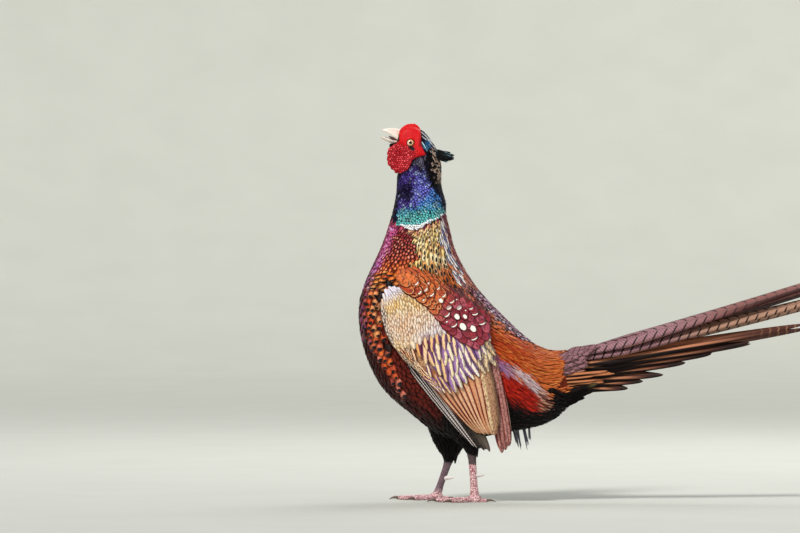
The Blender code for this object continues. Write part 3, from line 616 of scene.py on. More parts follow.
def body_candidates(count, low, high, seed):
    """Even random places over the body's surface between two distances along it."""
    draw = np.random.default_rng(seed)
    s = draw.uniform(low, high, count * 4)
    turn = draw.uniform(0, math.tau, count * 4)
    _, _, _, by_s, by_turn = body_frame(s, turn)
    area = by_s * by_turn
    keep = draw.uniform(0, area.max(), len(s)) < area
    return s[keep][:count], turn[keep][:count]


def home_of(s, turn):
    """A root's place on the unwrap of the skin."""
    a = 0.02 + 0.96 * (np.asarray(turn) % math.tau) / math.tau
    b = 0.02 + 0.96 * np.asarray(s) / KNOTS[-1]
    return columns(a, b, np.zeros(len(a)))


def body_roots(s, turn, length, width, sink, tilt, draw, sway, droop):
    """Roots on the body: each feather bends with the surface under it and may slant down the side."""
    p, lie, normal, by_s, by_turn = body_frame(s, turn)
    slant = droop + draw.normal(0, 1, len(s)) * sway
    down = np.where(np.sin(turn) >= 0, 1.0, -1.0)
    s_tip = s - length * np.cos(slant) / np.maximum(by_s, 1e-6)
    turn_tip = turn + down * length * np.sin(slant) / np.maximum(by_turn, 1e-3)
    tip = body_points(np.maximum(s_tip, BODY_END), turn_tip)
    beyond = np.maximum(BODY_END - s_tip, 0.0) * by_s
    tip += lie * beyond[:, None]
    reach = tip - p
    drop = np.sum(reach * normal, axis=1)
    ahead = unit(reach - normal * drop[:, None])
    step = width / 2 / np.maximum(by_turn, 1e-6)
    s_mid = np.maximum(s - 0.6 * length / by_s, BODY_END)
    mid, _, mid_normal, _, _ = body_frame(s_mid, turn)
    sides = (body_points(s_mid, turn + step) + body_points(s_mid, turn - step)) / 2 - mid
    cup = np.clip(np.sum(sides * mid_normal, axis=1), -width * 0.35, 0.0)
    drop = np.clip(drop, -length * 0.6, length * 0.35)
    lift = columns(tilt + sink, drop, cup)
    column, row = to_grid(p + (tip - p) * 0.75)
    place = columns(column, row, draw.uniform(0, 1, len(s)))
    stem, mark = p - normal * sink[:, None], body_marks(column, row)
    return roots_of(stem, ahead, normal, length, width, lift, place, home_of(s, turn), mark=mark)


RING_ROW = (
    (386, 217), (392, 221), (399, 225.5), (407, 228), (413, 229.3), (420, 227.5), (430, 222.3),
    (437, 218.8), (446, 212.5), (454, 209),
)
RING_THICK = (
    (397, 0.0), (399, 1.8), (406, 4.2), (413, 5.4), (420, 5.0), (428, 3.4), (436.5, 3.2), (438.5, 0.8),
    (440.5, 2.8), (446, 2.8), (449, 0.0),
)
COPPER_EDGE = (
    (220, 408), (232, 409), (240, 412), (250, 415), (258, 416), (262, 409), (268, 405), (292, 403),
)
STREAK_EDGE = ((215, 440), (232, 441), (245, 441), (260, 446), (275, 452), (290, 462), (310, 480))
RUMP_EDGE = (
    (455, 262), (475, 300), (485, 322), (495, 331), (510, 336), (530, 344), (548, 352), (600, 356),
)
FRONT_EDGE = (
    (176, 396), (200, 396), (215, 391), (222, 387), (232, 386), (250, 380), (270, 370), (290, 363),
    (300, 361.5), (320, 361.5), (340, 366), (355, 372), (370, 380), (385, 390), (400, 402), (420, 430),
)
REAR_EDGE = (
    (150, 440), (185, 441), (200, 446), (207, 445), (215, 446), (232, 450), (245, 453), (256, 457),
    (270, 464), (280, 471), (290, 480), (300, 488), (312, 499), (326, 514), (339, 530), (346, 543),
    (349, 556), (351, 640),
)
VENT_EDGE = (
    (440, 372), (470, 378), (490, 380), (500, 396), (512, 405), (530, 411), (548, 409), (560, 404),
    (575, 396),
)
SHEEN_ROW = (
    (490, 358), (500, 366), (510, 371), (520, 375), (530, 382), (540, 391), (550, 401), (560, 411),
)
COAT_END = (
    (345, 581), (352, 577), (358, 567), (365, 563), (380, 562), (388, 557), (400, 559), (412, 560),
)
TRACTS = {
    "crown": (0.0030, 0.0014, 2.4, 1.7, 0.0004, 0.0006, 0.06),
    "neck": (0.0032, 0.0030, 2.5, 1.6, 0.0006, 0.0009, 0.06),
    "ring": (0.0020, 0.0022, 2.6, 1.8, 0.0006, 0.0016, 0.06),
    "chest": (0.0042, 0.0034, 2.7, 1.75, 0.0008, 0.0010, 0.05),
    "bars": (0.0050, 0.0078, 2.6, 1.5, 0.0010, 0.0012, 0.16),
    "mantle": (0.0076, 0.0042, 2.4, 1.7, 0.0010, 0.0012, 0.11),
    "streaks": (0.0066, 0.0027, 2.3, 1.7, 0.0010, 0.0012, 0.10),
    "flank": (0.0080, 0.0074, 2.3, 1.6, 0.0012, 0.0016, 0.13),
    "belly": (0.0065, 0.0050, 2.8, 1.6, 0.0012, 0.0014, 0.10),
    "back": (0.0058, 0.0042, 2.5, 1.7, 0.0012, 0.0014, 0.14),
    "rump": (0.0050, 0.0017, 3.4, 1.7, 0.0012, 0.0014, 0.10),
    "vent": (0.0060, 0.0028, 3.0, 1.7, 0.0010, 0.0026, 0.14),
}


def body_marks(column, row):
    """Grid squares behind the front outline, below the ring or the rump's sheen, and to the back."""
    upper = row - line(RING_ROW, column)
    low = row - line(SHEEN_ROW, column)
    behind_front, before_rear = column - line(FRONT_EDGE, row), line(REAR_EDGE, row) - column
    return columns(behind_front, np.where(column > 486, low, upper), before_rear)


def tract_of(column, row, s):
    """Which tract a place belongs to, from where it is in the side view."""
    ring = line(RING_ROW, column)
    thick = line(RING_THICK, column)
    copper = line(COPPER_EDGE, row)
    streak = line(STREAK_EDGE, row)
    rump = line(RUMP_EDGE, column)
    name = np.full(len(column), "belly", dtype=object)
    name[row < 292] = "bars"
    flank = (row >= 290) & (column < 384 + np.maximum(row - 330, 0) * 0.36) & (row < 402)
    flank &= row < 345 + (column - 366) * 1.55
    name[flank] = "flank"
    name[(row < 269 + (400 - column) * 0.08) & (column < copper)] = "chest"
    mantle = (column >= copper) & (column < streak) & (row < 330)
    name[mantle] = "mantle"
    name[column >= streak] = "streaks"
    name[(column >= streak) & (row > 292)] = "back"
    rear = (column > 470) & (row > rump) & (column < 640)
    name[rear] = "rump"
    name[(column > 486) & (row > line(VENT_EDGE, column))] = "vent"
    name[(column > 553) & (row > 386)] = "vent"
    name[(column > 410) & (column <= 486) & (row > 385)] = "belly"
    name[row <= ring] = "neck"
    name[(np.abs(row - ring) < thick / 2) & (column > 397)] = "ring"
    name[s > HEAD_AT] = "crown"
    return name


def face_share(x, z):
    """How far out a place is on the bare face: 0 at the eye, 1 at the face's rim."""
    dx, dz = EYE_AT[0] - x, z - EYE_AT[1]
    return np.hypot(dx, dz) / face_reach(np.degrees(np.arctan2(dz, dx)))


def set_out_body():
    """Roots of every tract of the body."""
    top = KNOTS[-1] - 0.001
    body = body_candidates(BODY_PLACES, BODY_END, NECK_AT, 3)
    neck = body_candidates(NECK_PLACES, NECK_AT, top, 4)
    s, turn = (np.concatenate(pair) for pair in zip(body, neck))
    p, lie, normal, _, _ = body_frame(s, turn)
    draw = np.random.default_rng(21)
    ragged = draw.normal(0, 0.6, (2, len(s)))
    reach = np.full(len(s), 0.006)
    for _ in range(2):
        column, row = to_grid(p + lie * reach[:, None])
        near_ring = np.clip(np.abs(row - line(RING_ROW, column)) / 8, 0.15, 1.0)
        name = tract_of(column + ragged[0] * near_ring, row + ragged[1] * near_ring, s)
        sizes = np.array([TRACTS[n] for n in name])
        below = row - line(RING_ROW, column)
        grow = np.where(name == "chest", np.interp(row, [225, 270], [0.76, 1.22]), 1.0)
        grow *= np.where(name == "neck", np.interp(row, [150, 215], [0.80, 1.0]), 1.0)
        upper = np.isin(name, ("mantle", "streaks", "bars"))
        grow *= np.where(upper, np.interp(below, [0, 10, 40], [0.42, 0.62, 1.1]), 1.0)
        sizes[:, 0] *= grow
        sizes[:, 1] *= grow
        reach = sizes[:, 0] * sizes[:, 2] * 0.75
    bare = (face_share(p[:, 0], p[:, 2]) < 0.96) & (s > along(9.5))
    hidden = wing_covers(column, row) & (s < along(7.2))
    here_column, here_row = to_grid(p)
    hidden |= (here_column > line(COAT_END, here_row) - 4) & (here_row < 388)
    order = np.argsort(s + draw.uniform(-0.0006, 0.0006, len(s)))
    order = order[~(bare | hidden)[order]]
    kept = spread(p, lie, normal, sizes[:, 0], sizes[:, 1], order)
    made = {}
    for tract in TRACTS:
        pick = kept[name[kept] == tract]
        z = sizes[pick]
        length = z[:, 0] * z[:, 2] * draw.uniform(0.88, 1.10, len(pick))
        width = z[:, 1] * z[:, 3] * draw.uniform(0.92, 1.08, len(pick))
        c, r = to_grid(p[pick])
        droop = np.zeros(len(pick))
        if tract in ("rump", "vent"):
            room = (line(COAT_END, r) - c + draw.normal(0, 1.5, len(pick))) * GRID
            length = np.minimum(length, np.maximum(room, 0.35 * length))
            droop = 0.12 + 0.50 * smooth((r - line(SHEEN_ROW, c) + 22) / 26)
            droop *= smooth((line(REAR_EDGE, r) - c) / 14) if tract == "rump" else 0.4
        sway = TRACTS[tract][6]
        made[tract] = body_roots(s[pick], turn[pick], length, width, z[:, 4], z[:, 5], draw, sway, droop)
    return made


# Setting out the roots on the wings

WING_OUTLINE = (
    (383, 303), (387, 294), (395, 288), (407, 287), (424, 293), (440, 305), (452, 322), (462, 333),
    (474, 338), (484, 326), (491, 345), (492, 361), (480, 368), (466, 374), (456, 383), (448, 389),
    (440, 391), (428, 381), (418, 369), (408, 357), (396, 347), (387, 333), (382, 315),
)
WING_SHADOW = (
    (384, 302), (388, 291), (397, 285), (408, 284), (424, 294), (444, 303), (470, 312), (484, 340),
    (488, 370), (490, 408), (476, 428), (452, 404), (430, 384), (410, 360), (394, 340),
)
SCAPULAR_OUTLINE = (
    (404, 271), (416, 272), (432, 277), (448, 285), (466, 294), (480, 306), (487, 320), (485, 336),
    (475, 346), (462, 339), (449, 330), (440, 316), (425, 301), (409, 290),
)


def inside(outline, column, row):
    """Which places lie inside a closed outline of grid points."""
    column, row = np.asarray(column, float), np.asarray(row, float)
    hit = np.zeros(column.shape, bool)
    for (ax, ay), (bx, by) in zip(outline, outline[1:] + outline[:1]):
        cross = (ay > row) != (by > row)
        at = ax + (row - ay) * (bx - ax) / (by - ay if by != ay else 1e-9)
        hit ^= cross & (column < at)
    return hit


def wing_covers(column, row):
    return inside(WING_SHADOW, column, row)


def wing_place(column, row):
    """Distance from the wing's bend and distance behind its axis of grid places."""
    x, z = from_grid(column, row)
    dx, dz = x - WING_BEND[0], z - WING_BEND[1]
    return dx * WING_AXIS[0] + dz * WING_AXIS[1], dz * WING_AXIS[0] - dx * WING_AXIS[1]


def wing_stand(l, w):
    """How far out the wing stands at a distance along its axis and behind it."""
    return WING_STAND(np.clip(l, -0.01, 0.26))[:, 0] - (w - WING_MIDDLE) ** 2 / (2 * WING_ROUNDING)


def wing_points(column, row, height, side):
    """Points over the wing's surface, or over the body where that stands farther out."""
    column, row = np.asarray(column, float), np.asarray(row, float)
    l, w = wing_place(column, row)
    x, z = from_grid(column, row)
    y = wing_stand(l, w)
    body = np.array([surface_y(a, b) for a, b in zip(x, z)])
    soft = 0.004
    gap = np.clip(0.5 + 0.5 * (y - body) / soft, 0, 1)
    y = body + (y - body) * gap + soft * gap * (1 - gap)
    return columns(x, side * (y + height), z)


def wing_roots(
    column, row, angle, length, width, height, tilt, side, draw, webs=None, patch=None, home=None, mark=None
):
    """Roots whose vanes show at grid places and point down the wing at an angle under the level."""
    column, row, angle = np.broadcast_arrays(np.asarray(column, float), row, angle)
    length, width = np.broadcast_to(length, column.shape), np.broadcast_to(width, column.shape)
    height = np.broadcast_to(height, column.shape)
    way = columns(np.cos(angle), np.sin(angle))
    steps = length / GRID

    def at(share, rise, aside=0.0):
        turned = columns(-way[:, 1], way[:, 0])
        c = column + way[:, 0] * steps * share + turned[:, 0] * aside
        r = row + way[:, 1] * steps * share + turned[:, 1] * aside
        return wing_points(c, r, rise, side)

    root, mid, tip = at(-0.75, height), at(-0.25, height), at(0.25, height)
    near, far = at(-0.25, height, -1.0), at(-0.25, height, 1.0)
    normal = unit(np.cross(far - near, tip - root))
    normal *= np.sign(normal[:, 1:2]) * side
    chord = (root + tip) / 2
    sag = np.sum((mid - chord) * normal, axis=1)
    half = width / 2 / GRID
    cup_points = (at(-0.25, height, -1.0 * half) + at(-0.25, height, half)) / 2 - mid
    cup = np.clip(np.sum(cup_points * normal, axis=1), -0.3 * width, 0.0)
    lift = columns(tilt + 4 * sag, -4 * sag, cup)
    place = columns(column, row, draw.uniform(0, 1, len(column)))
    if home is None:
        l, w = wing_place(column, row)
        home = columns(0.05 + 0.9 * (w + 0.05) / 0.13, 0.05 + 0.9 * (l + 0.02) / 0.28, 0 * l)
        home[:, 0] = np.clip(home[:, 0], 0.01, 0.99) * 0.49 + (0.0 if side < 0 else 0.5)
    reach = np.linalg.norm(tip - root, axis=1)
    return roots_of(root, tip - root, normal, reach, width, lift, place, home, patch, webs, mark=mark)


def set_out_wing(outline, paces, angle, seed, first=()):
    """Packs grid places inside an outline round the first ones, with paces and lie given at each place."""
    draw = np.random.default_rng(seed)
    low, high = np.min(outline, axis=0), np.max(outline, axis=0)
    column = draw.uniform(low[0], high[0], WING_PLACES)
    row = draw.uniform(low[1], high[1], WING_PLACES)
    keep = inside(outline, column, row)
    column = np.concatenate([[p[0] for p in first], column[keep]])
    row = np.concatenate([[p[1] for p in first], row[keep]])
    theta = angle(column, row)
    lie = columns(np.cos(theta), np.sin(theta), 0 * theta)
    long, wide = paces(column, row)
    points = columns(column, row, 0 * column)
    ranks = -(column * np.cos(1.1) + row * np.sin(1.1)) + draw.uniform(-0.4, 0.4, len(column))
    ranks[: len(first)] = -1e6
    normal = np.tile((0.0, 0.0, 1.0), (len(column), 1))
    kept = spread(points, lie, normal, long, wide, np.argsort(ranks))
    return column[kept], row[kept], theta[kept], long[kept], wide[kept], kept, draw


LEADING_EDGE = ((285, 385), (310, 382), (330, 387), (345, 396), (360, 411), (395, 445))
STREAK_ROW = ((383, 354), (400, 346), (415, 340), (430, 334), (445, 328), (460, 322), (500, 316))


def near_edge(column, row, inset=0):
    """1 along the wing's leading edge, falling to 0 behind it."""
    return np.clip(1 - (column - line(LEADING_EDGE, row) - inset) / 12, 0, 1)


def covert_angle(column, row):
    """Lie of the wing's coverts: round its bend, down its leading edge, and down and back behind it."""
    edge = np.interp(row, [285, 310, 330, 345, 360], [75, 86, 68, 52, 46])
    near = near_edge(column, row)
    inner = np.interp(row, [290, 330, 362, 385], [66, 80, 80, 60]) - np.clip(column - 455, 0, 40) * 0.55
    top = np.interp(column, [383, 387, 396, 408, 424, 440], [303, 293, 287, 286, 293, 305])
    over = np.clip(1 - (row - top) / 11, 0, 1) * smooth((column - 383) / 5)
    crest = np.interp(column, [384, 392, 400, 412, 424, 440], [78, 44, 30, 34, 44, 55])
    return np.radians((inner * (1 - near) + edge * near) * (1 - over) + crest * over)


def covert_paces(column, row):
    streak = line(STREAK_ROW, column)
    far = smooth((row - streak + 4) / 8)
    bend = smooth((521 - column * 0.55 - row) / 12)
    long = (4.8 + far * 11.5) * (1 - bend) + 2.3 * bend
    wide = (2.2 + far * 3.4) * (1 - bend) + 1.8 * bend
    near = near_edge(column, row, 3)
    long = long * (1 - near) + 3.6 * near
    wide = wide * (1 - near) + 1.9 * near
    return long, wide


SPOTS = (
    (415, 276, 0.85, 0.0), (427, 283, 0.90, 0.0), (416, 283, 0.95, 0.0), (437, 288, 0.95, 0.0),
    (425, 289, 0.95, 0.0), (431, 294, 1.05, 0.0), (419, 292, 0.90, 0.0), (443, 295, 0.95, 0.0),
    (440, 300, 1.15, 1.0), (451, 301, 1.10, 0.0), (448, 307, 1.20, 0.3), (458, 307, 1.25, 0.3),
    (446, 314, 1.40, 0.0), (456, 316, 1.45, 1.0), (464, 316, 1.10, 1.0), (470, 308, 0.85, 0.0),
    (474, 313, 1.35, 0.0), (453, 324, 1.55, 0.0), (462, 326, 1.85, 1.0), (472, 328, 1.65, 1.0),
    (481, 322, 1.70, 0.0), (473, 337, 1.60, 0.0),
)


SCAPULAR_TOP = ((404, 270), (416, 271), (432, 276), (448, 284), (466, 293), (480, 304), (490, 318))


def scapular_angle(column, _):
    return np.radians(np.interp(column, [404, 440, 486], [38, 52, 66]))


def scapular_paces(column, row):
    gloom = scapular_gloom(column, row)
    grow = np.interp(column + (row - 270), [404, 540], [0.70, 1.18])
    return 5.9 * grow * (1 - 0.30 * gloom), 5.1 * grow * (1 - 0.30 * gloom)


def scapular_gloom(column, row):
    """1 on the dark small scapulars against the back."""
    return smooth(((column - 440) * 0.50 + 293 - row) / 5) * smooth((column - 442) / 10)


FLIGHT_TIERS = {
    "primaries": ((398, 350), (434, 354), (474, 445), (489, 450), 6, 0.0135, -0.0090, 0.0010, (1.2, 0.6)),
    "secondaries": ((408, 350), (476, 340), (478, 431), (494, 434), 9, 0.0190, -0.0046, 0.0012, (1.2, 0.8)),
    "tertials": ((482, 344), (491, 346), (501, 451), (508, 445), 3, 0.0125, -0.0062, 0.0010, (1.0, 0.8)),
    "alula": ((392, 338), (404, 344), (408, 362), (420, 372), 4, 0.0085, -0.0012, 0.0012, (1.0, 0.8)),
}


def flight_roots(tier, side, draw):
    root_a, root_b, tip_a, tip_b, count, width, height, tilt, webs = FLIGHT_TIERS[tier]
    t = np.linspace(0, 1, count)[:, None]
    root = np.array(root_a) * (1 - t) + np.array(root_b) * t
    tip = np.array(tip_a) * (1 - t) + np.array(tip_b) * t
    tip = tip + (tip - root) * draw.uniform(-0.015, 0.012, (count, 1))
    run = tip - root
    angle = np.arctan2(run[:, 1], run[:, 0])
    length = np.linalg.norm(run, axis=1) * GRID
    show = root + run * 0.75
    rise = height + 0.00045 * np.arange(count)
    web = (webs[0], webs[1]) if side > 0 else (webs[1], webs[0])
    home = columns(0.04 + 0.92 * (np.arange(count) + 0.5) / count, np.full(count, 0.5), np.zeros(count))
    home[:, 0] = home[:, 0] * 0.5 + (0.0 if side < 0 else 0.5)
    patch = np.tile((0.40 * 0.92 / count / 2 / max(webs), 0.9, 0.0), (count, 1))
    mark = columns(t[:, 0], 0 * t[:, 0], 0 * t[:, 0])
    return wing_roots(show[:, 0], show[:, 1], angle, length, width, rise, tilt, side, draw,
                      np.tile((*web, 1.0), (count, 1)), patch, home, mark)


# Setting out the tail

def tail_roots():
    """The eighteen tail feathers, in pairs from the longest."""
    luck = random.Random(12)
    feathers = []
    for i, full in enumerate(TAIL_LENGTHS):
        t = i / (len(TAIL_LENGTHS) - 1)
        for _, side in SIDES:
            length = full * luck.uniform(0.975, 1.015)
            rise = math.radians(TAIL_RISES[i] + luck.uniform(-0.5, 0.5) - (0.9 if side > 0 else 0.0))
            spread_out = math.radians(TAIL_SPREADS[i])
            roll = math.radians(TAIL_ROLLS[i])
            top = TAIL_TOP_Z + (TAIL_LOW_Z - TAIL_TOP_Z) * t
            root = np.array((TAIL_ROOT_X, side * (0.0050 + 0.0013 * i), top))
            curl = (-0.10 * t + 0.03 * (1 - t)) * length
            way = np.array((math.cos(rise), side * math.sin(spread_out), math.sin(rise))) * length
            up = np.array((0.0, side * math.sin(roll), math.cos(roll)))
            wide = 1.0 + (0.66 - 1.0) * t
            inner, outer = 0.0112 * wide, 0.0190 * wide
            feathers.append({
                "stem": root, "ahead": way, "rise": up, "length": float(np.linalg.norm(way)), "width": 2.0,
                "lift": (0.0, 0.0, -0.0012), "bend": (0.0, 0.0, curl), "patch": (0.020, 0.94, 0.0),
                "place": (i / 8.0, 1.0 if side > 0 else 0.0, luck.random()),
                "home": (0.03 + (2 * i + (side > 0)) * 0.052, 0.5, 0.0),
                "webs": (inner, outer, 1.0) if side > 0 else (outer, inner, 1.0),
            })
    return roots_of(**{key: np.array([feather[key] for feather in feathers]) for key in feathers[0]})


# Colours

BLACK = paint(6, 5, 8)
NAVY = paint(16, 18, 52)
PERIWINKLE = paint(122, 122, 232)
AZURE = paint(84, 152, 238)
TEAL = paint(26, 92, 110)
WHITE = paint(240, 240, 244)
SILVER = paint(186, 188, 196)
NAPE_BUFF = paint(196, 168, 150)
CHESTNUT = paint(60, 14, 10)
SOOT = paint(14, 8, 8)
GREY = paint(150, 144, 150)
SCARLET = paint(224, 8, 18)
CRIMSON = paint(120, 4, 16)


def face_grain(places):
    """For grid places on the bare skin: 1 on a grain's crown, 0 in the grooves, and the grain's chance."""
    draw = np.random.default_rng(5)
    pitch = 2.25
    spots = []
    for n, row in enumerate(np.arange(118, 180, pitch * 0.87)):
        for column in np.arange(380, 432, pitch):
            spots.append((column + pitch / 2 * (n % 2), row))
    spots = np.array(spots) + draw.uniform(-0.7, 0.7, (len(spots), 2))
    chance = draw.uniform(0, 1, len(spots))
    tree = KDTree(len(spots))
    for i, (column, row) in enumerate(spots):
        tree.insert((column, row, 0.0), i)
    tree.balance()
    grain = []
    for column, row in places:
        (_, i, near), (_, _, next_near) = tree.find_n((column, row, 0.0), 2)
        grain.append((float(smooth((next_near - near) / 1.5)), chance[i], 0.0))
    return np.array(grain)


# Plumage finishes

def base_vane(name):
    """A feather's finish, where a point is on its vane, and the feather's column, row and chance."""
    f = Finish(name)
    x, y = f.vane()
    column, row, chance = f.read("place")
    return f, x, y, column, row, chance


def other(chance):
    """A second chance of a feather, made from the digits past its first."""
    return (chance * SECOND_CHANCE).math("FRACT")


def rim_of(x, y, roundness=2.2, centre=0.62):
    """How near a place on a vane is to its rounded tip: 1 on the rim."""
    past = ((y - centre) / (1 - centre)).most(0)
    return (x * x + past ** roundness) ** 0.5


def head_and_neck(f, column, row, chance):
    """Ground colour of the head's and neck's plumage, from the black nape round to the violet throat."""
    second = other(chance)
    column, row = column + (chance - 0.5) * 5, row + (second - 0.5) * 5
    blue = f.mix((column + (row - 180) * 0.2).step(411, 421), (86, 62, 160), PERIWINKLE)
    blue.lay((column + (row - 195) * 0.9).step(422, 432), AZURE)
    gloom = oval(column - 406, row - 192, 8.5, 9).step(1.25, 0.5)
    blue.lay(gloom * 0.9, (22, 10, 44))
    low = (row + (column - 400) * 0.22).step(207, 214)
    base = f.mix((row + (column - 410) * 0.1).step(206, 217), (72, 150, 208), (104, 208, 206))
    colour = f.mix(low, blue, base)
    # Painted highlight: pale blue-white laid on some feathers of the glossy head and neck.
    colour.lay(second.step(0.6, 0.95) * 0.4 * (1 - gloom), (216, 236, 250))
    rear = (column - (row.step(180, 210) * 13 + 428.5)).step(-1, 3)
    dark = f.mix(row.step(184, 196), BLACK, NAVY)
    dark.lay(row.step(206, 212), TEAL)
    colour.lay(rear, dark)
    colour.lay((column - 396).step(3, 0.5), f.mix(row.step(205, 215), BLACK, NAVY))
    colour.lay(row.step(177, 168) * column.step(411, 417), (30, 18, 46))
    grey = oval(column - 419, row - 161, 7, 6).step(1.3, 0.6)
    colour.lay(grey, f.mix(chance, (116, 108, 130), (62, 58, 74)))
    colour.lay(column.step(424, 428) * row.step(146, 150) * row.step(188, 178), dark)
    buff = (column - ((row - 150) * 0.03 + 433)).step(-0.5, 1) * row.step(184, 176)
    colour.lay(buff, f.mix(chance.step(0.36, 0.52), BLACK, NAPE_BUFF))
    crown = (column * 0.8 - row).step(194, 202)
    streaked = f.mix(chance.step(0.48, 0.58), BLACK, SILVER)
    streaked.lay(chance.step(0.8, 0.9), WHITE)
    colour.lay(crown * row.step(156, 150), streaked)
    teal = oval(column - 426.5, row - 145.5, 4, 5).step(1.2, 0.6)
    colour.lay(teal, f.mix(chance.step(0.3, 0.8), (30, 96, 150), (186, 232, 242)))
    return f.mix((column - 400).step(3, -1) * row.step(186, 176), colour, BLACK)


def neck_finish():
    f, x, y, column, row, chance = base_vane("neck plumage")
    ground = head_and_neck(f, column, row, chance)
    patches = f.noise(150, 2, 0.5)
    rear = column - (row.step(180, 210) * 13 + 428.5)
    coloured = column.step(398, 402) * rear.step(1, -3) * row.step(166, 176)
    ground.lay(patches.step(0.48, 0.38) * 0.5 * coloured, (12, 6, 34))
    edge = rim_of(x, y, 2, 0.52)
    dark = f.mix(0.94, ground, (0.002, 0.001, 0.008, 1))
    colour = f.mix(edge.step(0.26, 0.6), dark, ground)
    glint = edge.step(0.66, 0.86) * patches.step(0.46, 0.6) * (chance * 0.35 + 0.05)
    colour.lay(glint * coloured, f.mix(row.step(196, 208), (176, 176, 255), (190, 244, 255)))
    return f.plume(colour, 0.42, 12, 0.12, metallic=0.3)


def crown_finish():
    f, x, _, column, row, chance = base_vane("crown plumage")
    ground = head_and_neck(f, column, row, chance)
    colour = f.mix(abs(x).step(0.45, 0.85) * 0.8, ground, BLACK)
    return f.plume(colour, 0.55, 12, 0.12)


def ring_finish():
    f, _, y, column, _, chance = base_vane("white ring plumage")
    colour = f.mix(y.step(0.45, 0.15), (252, 252, 254), GREY)
    colour.lay(chance.step(0.75, 0.95) * column.step(424, 430) * 0.8, (90, 96, 120))
    colour.lay(chance.step(0.3, 0) * 0.35, (190, 186, 214))
    return f.plume(colour, 0.6, 14, 0.5)


def below_ring(f, colour, under, column, chance):
    """The dark and rosy line of small feathers just under the white ring."""
    rosy = f.mix(column.step(424, 432), (110, 18, 44), (30, 16, 30))
    rosy.lay(chance.step(0.5, 0.8) * 0.7, (216, 84, 120))
    return f.mix(under.step(5.2, 3.8), colour, rosy)


def chest_finish():
    f, x, y, column, row, chance = base_vane("copper breast plumage")
    front, under, _ = f.read("mark")
    deep = f.mix((row + (column - 400) * 0.2).step(250, 268), (88, 8, 14), (140, 42, 16))
    light = f.mix((row + (column - 400) * 0.2).step(236, 258), (168, 36, 40), (220, 104, 76))
    light.lay(row.step(256, 268), (240, 122, 44))
    # Painted highlight: pinkish white laid on some breast feathers.
    light.lay(chance.step(0.6, 1) * 0.5, (250, 176, 146))
    # Painted sheen: the lilac and pink band is the breast's purple gloss, laid along the front outline
    # where the surface turns away.
    lilac = (front + (chance - 0.5) * 4 - (row.step(222, 240) * -4 + 13)).step(3, -4)
    deep.lay(lilac, f.mix(front.step(5, 1), (150, 36, 110), (90, 18, 44)))
    petal = f.mix(row.step(236, 280), (238, 104, 164), (206, 140, 206))
    petal.lay(chance.step(0.4, 0.9), (248, 180, 228))
    petal.lay(front.step(4.5, 1), (150, 40, 74))
    light.lay(lilac, petal)
    # The lighter dot near each tip is partly the copper's own lighter colour and partly painted highlight.
    aside = x + (chance - 0.5) * 0.4
    dot = oval(aside, y - 0.84, 0.5, 0.15).step(1.5, 0.4)
    broad = oval(x, y - 0.82, 0.75, 0.18).step(1.4, 0.4)
    colour = f.mix((broad * lilac + dot * (1 - lilac)) * (chance * 0.4 + 0.6), deep, light)
    colour.lay(rim_of(x, y, 2, 0.6).step(0.78, 0.95) * (1 - lilac) * 0.8, (40, 4, 10))
    spots = lilac * row.step(258, 266) * chance.step(0.5, 0.7)
    colour.lay(spots * 0.8, (36, 12, 34))
    colour = below_ring(f, colour, under, column, chance)
    return f.plume(colour, 0.45, 16, 0.3, metallic=0.1)


def bars_finish():
    f, x, y, column, row, chance = base_vane("barred breast plumage")
    front, under, _ = f.read("mark")
    second = other(chance)
    ground = f.mix(chance, (232, 108, 36), (248, 168, 84))
    ground.lay(second.step(0.6, 0.85) * 0.8, (186, 62, 26))
    # Painted sheen: the breast's purple gloss, laid along the front outline.
    front_sheen = front.step(10, 2)
    purple = f.mix(chance.step(0.3, 0.8), (150, 66, 126), (222, 164, 206))
    ground.lay(front_sheen, purple)
    hair = f.noise(420, stretch=(1, 1, 0.5))
    ground.lay(hair.step(0.5, 0.62) * 0.5, (110, 36, 18))
    leaning = y + x * 0.12 + (chance - 0.5) * 0.06
    bar = leaning.step(0.76, 0.8) * leaning.step(0.97, 0.93) * abs(x + (second - 0.5) * 0.7).step(0.95, 0.7)
    colour = f.mix(y.step(0.62, 0.48), ground, (150, 60, 26))
    colour.lay(bar * (1 - front_sheen * 0.3), (10, 6, 8))
    # Painted shadow on the breast feathers along the top of the wing's bend.
    bend_shadow = oval(column - 391, row - 286, 9, 3.2).step(1.2, 0.8)
    colour.lay(bend_shadow, (16, 8, 10))
    colour = below_ring(f, colour, under, column, chance)
    return f.plume(colour, 0.48, 18, 0.3, metallic=0.05)


def flank_finish():
    f, x, y, column, row, chance = base_vane("flank plumage")
    front, _, _ = f.read("mark")
    second = other(chance)
    ground = f.mix(chance, (236, 112, 48), (208, 66, 26))
    ground.lay(row.step(338, 362) * second.step(0.4, 0.7), (236, 132, 110))
    strip = (column - row.step(300, 340) * 4 + (second - 0.5) * 4).band(371.5, 377, 1.5)
    ground.lay(strip * row.band(296, 334, 6) * 0.5, (250, 196, 130))
    shade = (front + (second - 0.5) * 4).step(7, 1)
    ground.lay(shade, f.mix(chance.step(0.3, 0.7), (128, 56, 96), CHESTNUT))
    hair = f.noise(420, stretch=(1, 1, 0.4))
    ground.lay(hair.step(0.5, 0.64) * 0.55, (116, 30, 16))
    colour = f.mix(y.step(0.62, 0.46), ground, (130, 40, 20))
    size = second * 1.5 + 0.7
    aside = x + (chance - 0.5) * 0.7
    spot = (oval(aside, y - 0.86, 0.5, 0.09) / size).step(1.15, 0.85)
    colour.lay(spot * second.step(0.02, 0.12), (14, 8, 18))
    # Painted shadow: a dark line on the flank where the wing's leading edge stands over it.
    wing_edge_shadow = (column - (row.step(300, 352) * 9 + 377.5)).step(0, 1.5) * row.step(362, 346)
    colour.lay(wing_edge_shadow, (34, 10, 10))
    return f.plume(colour, 0.48, 20, 0.3, metallic=0.05)


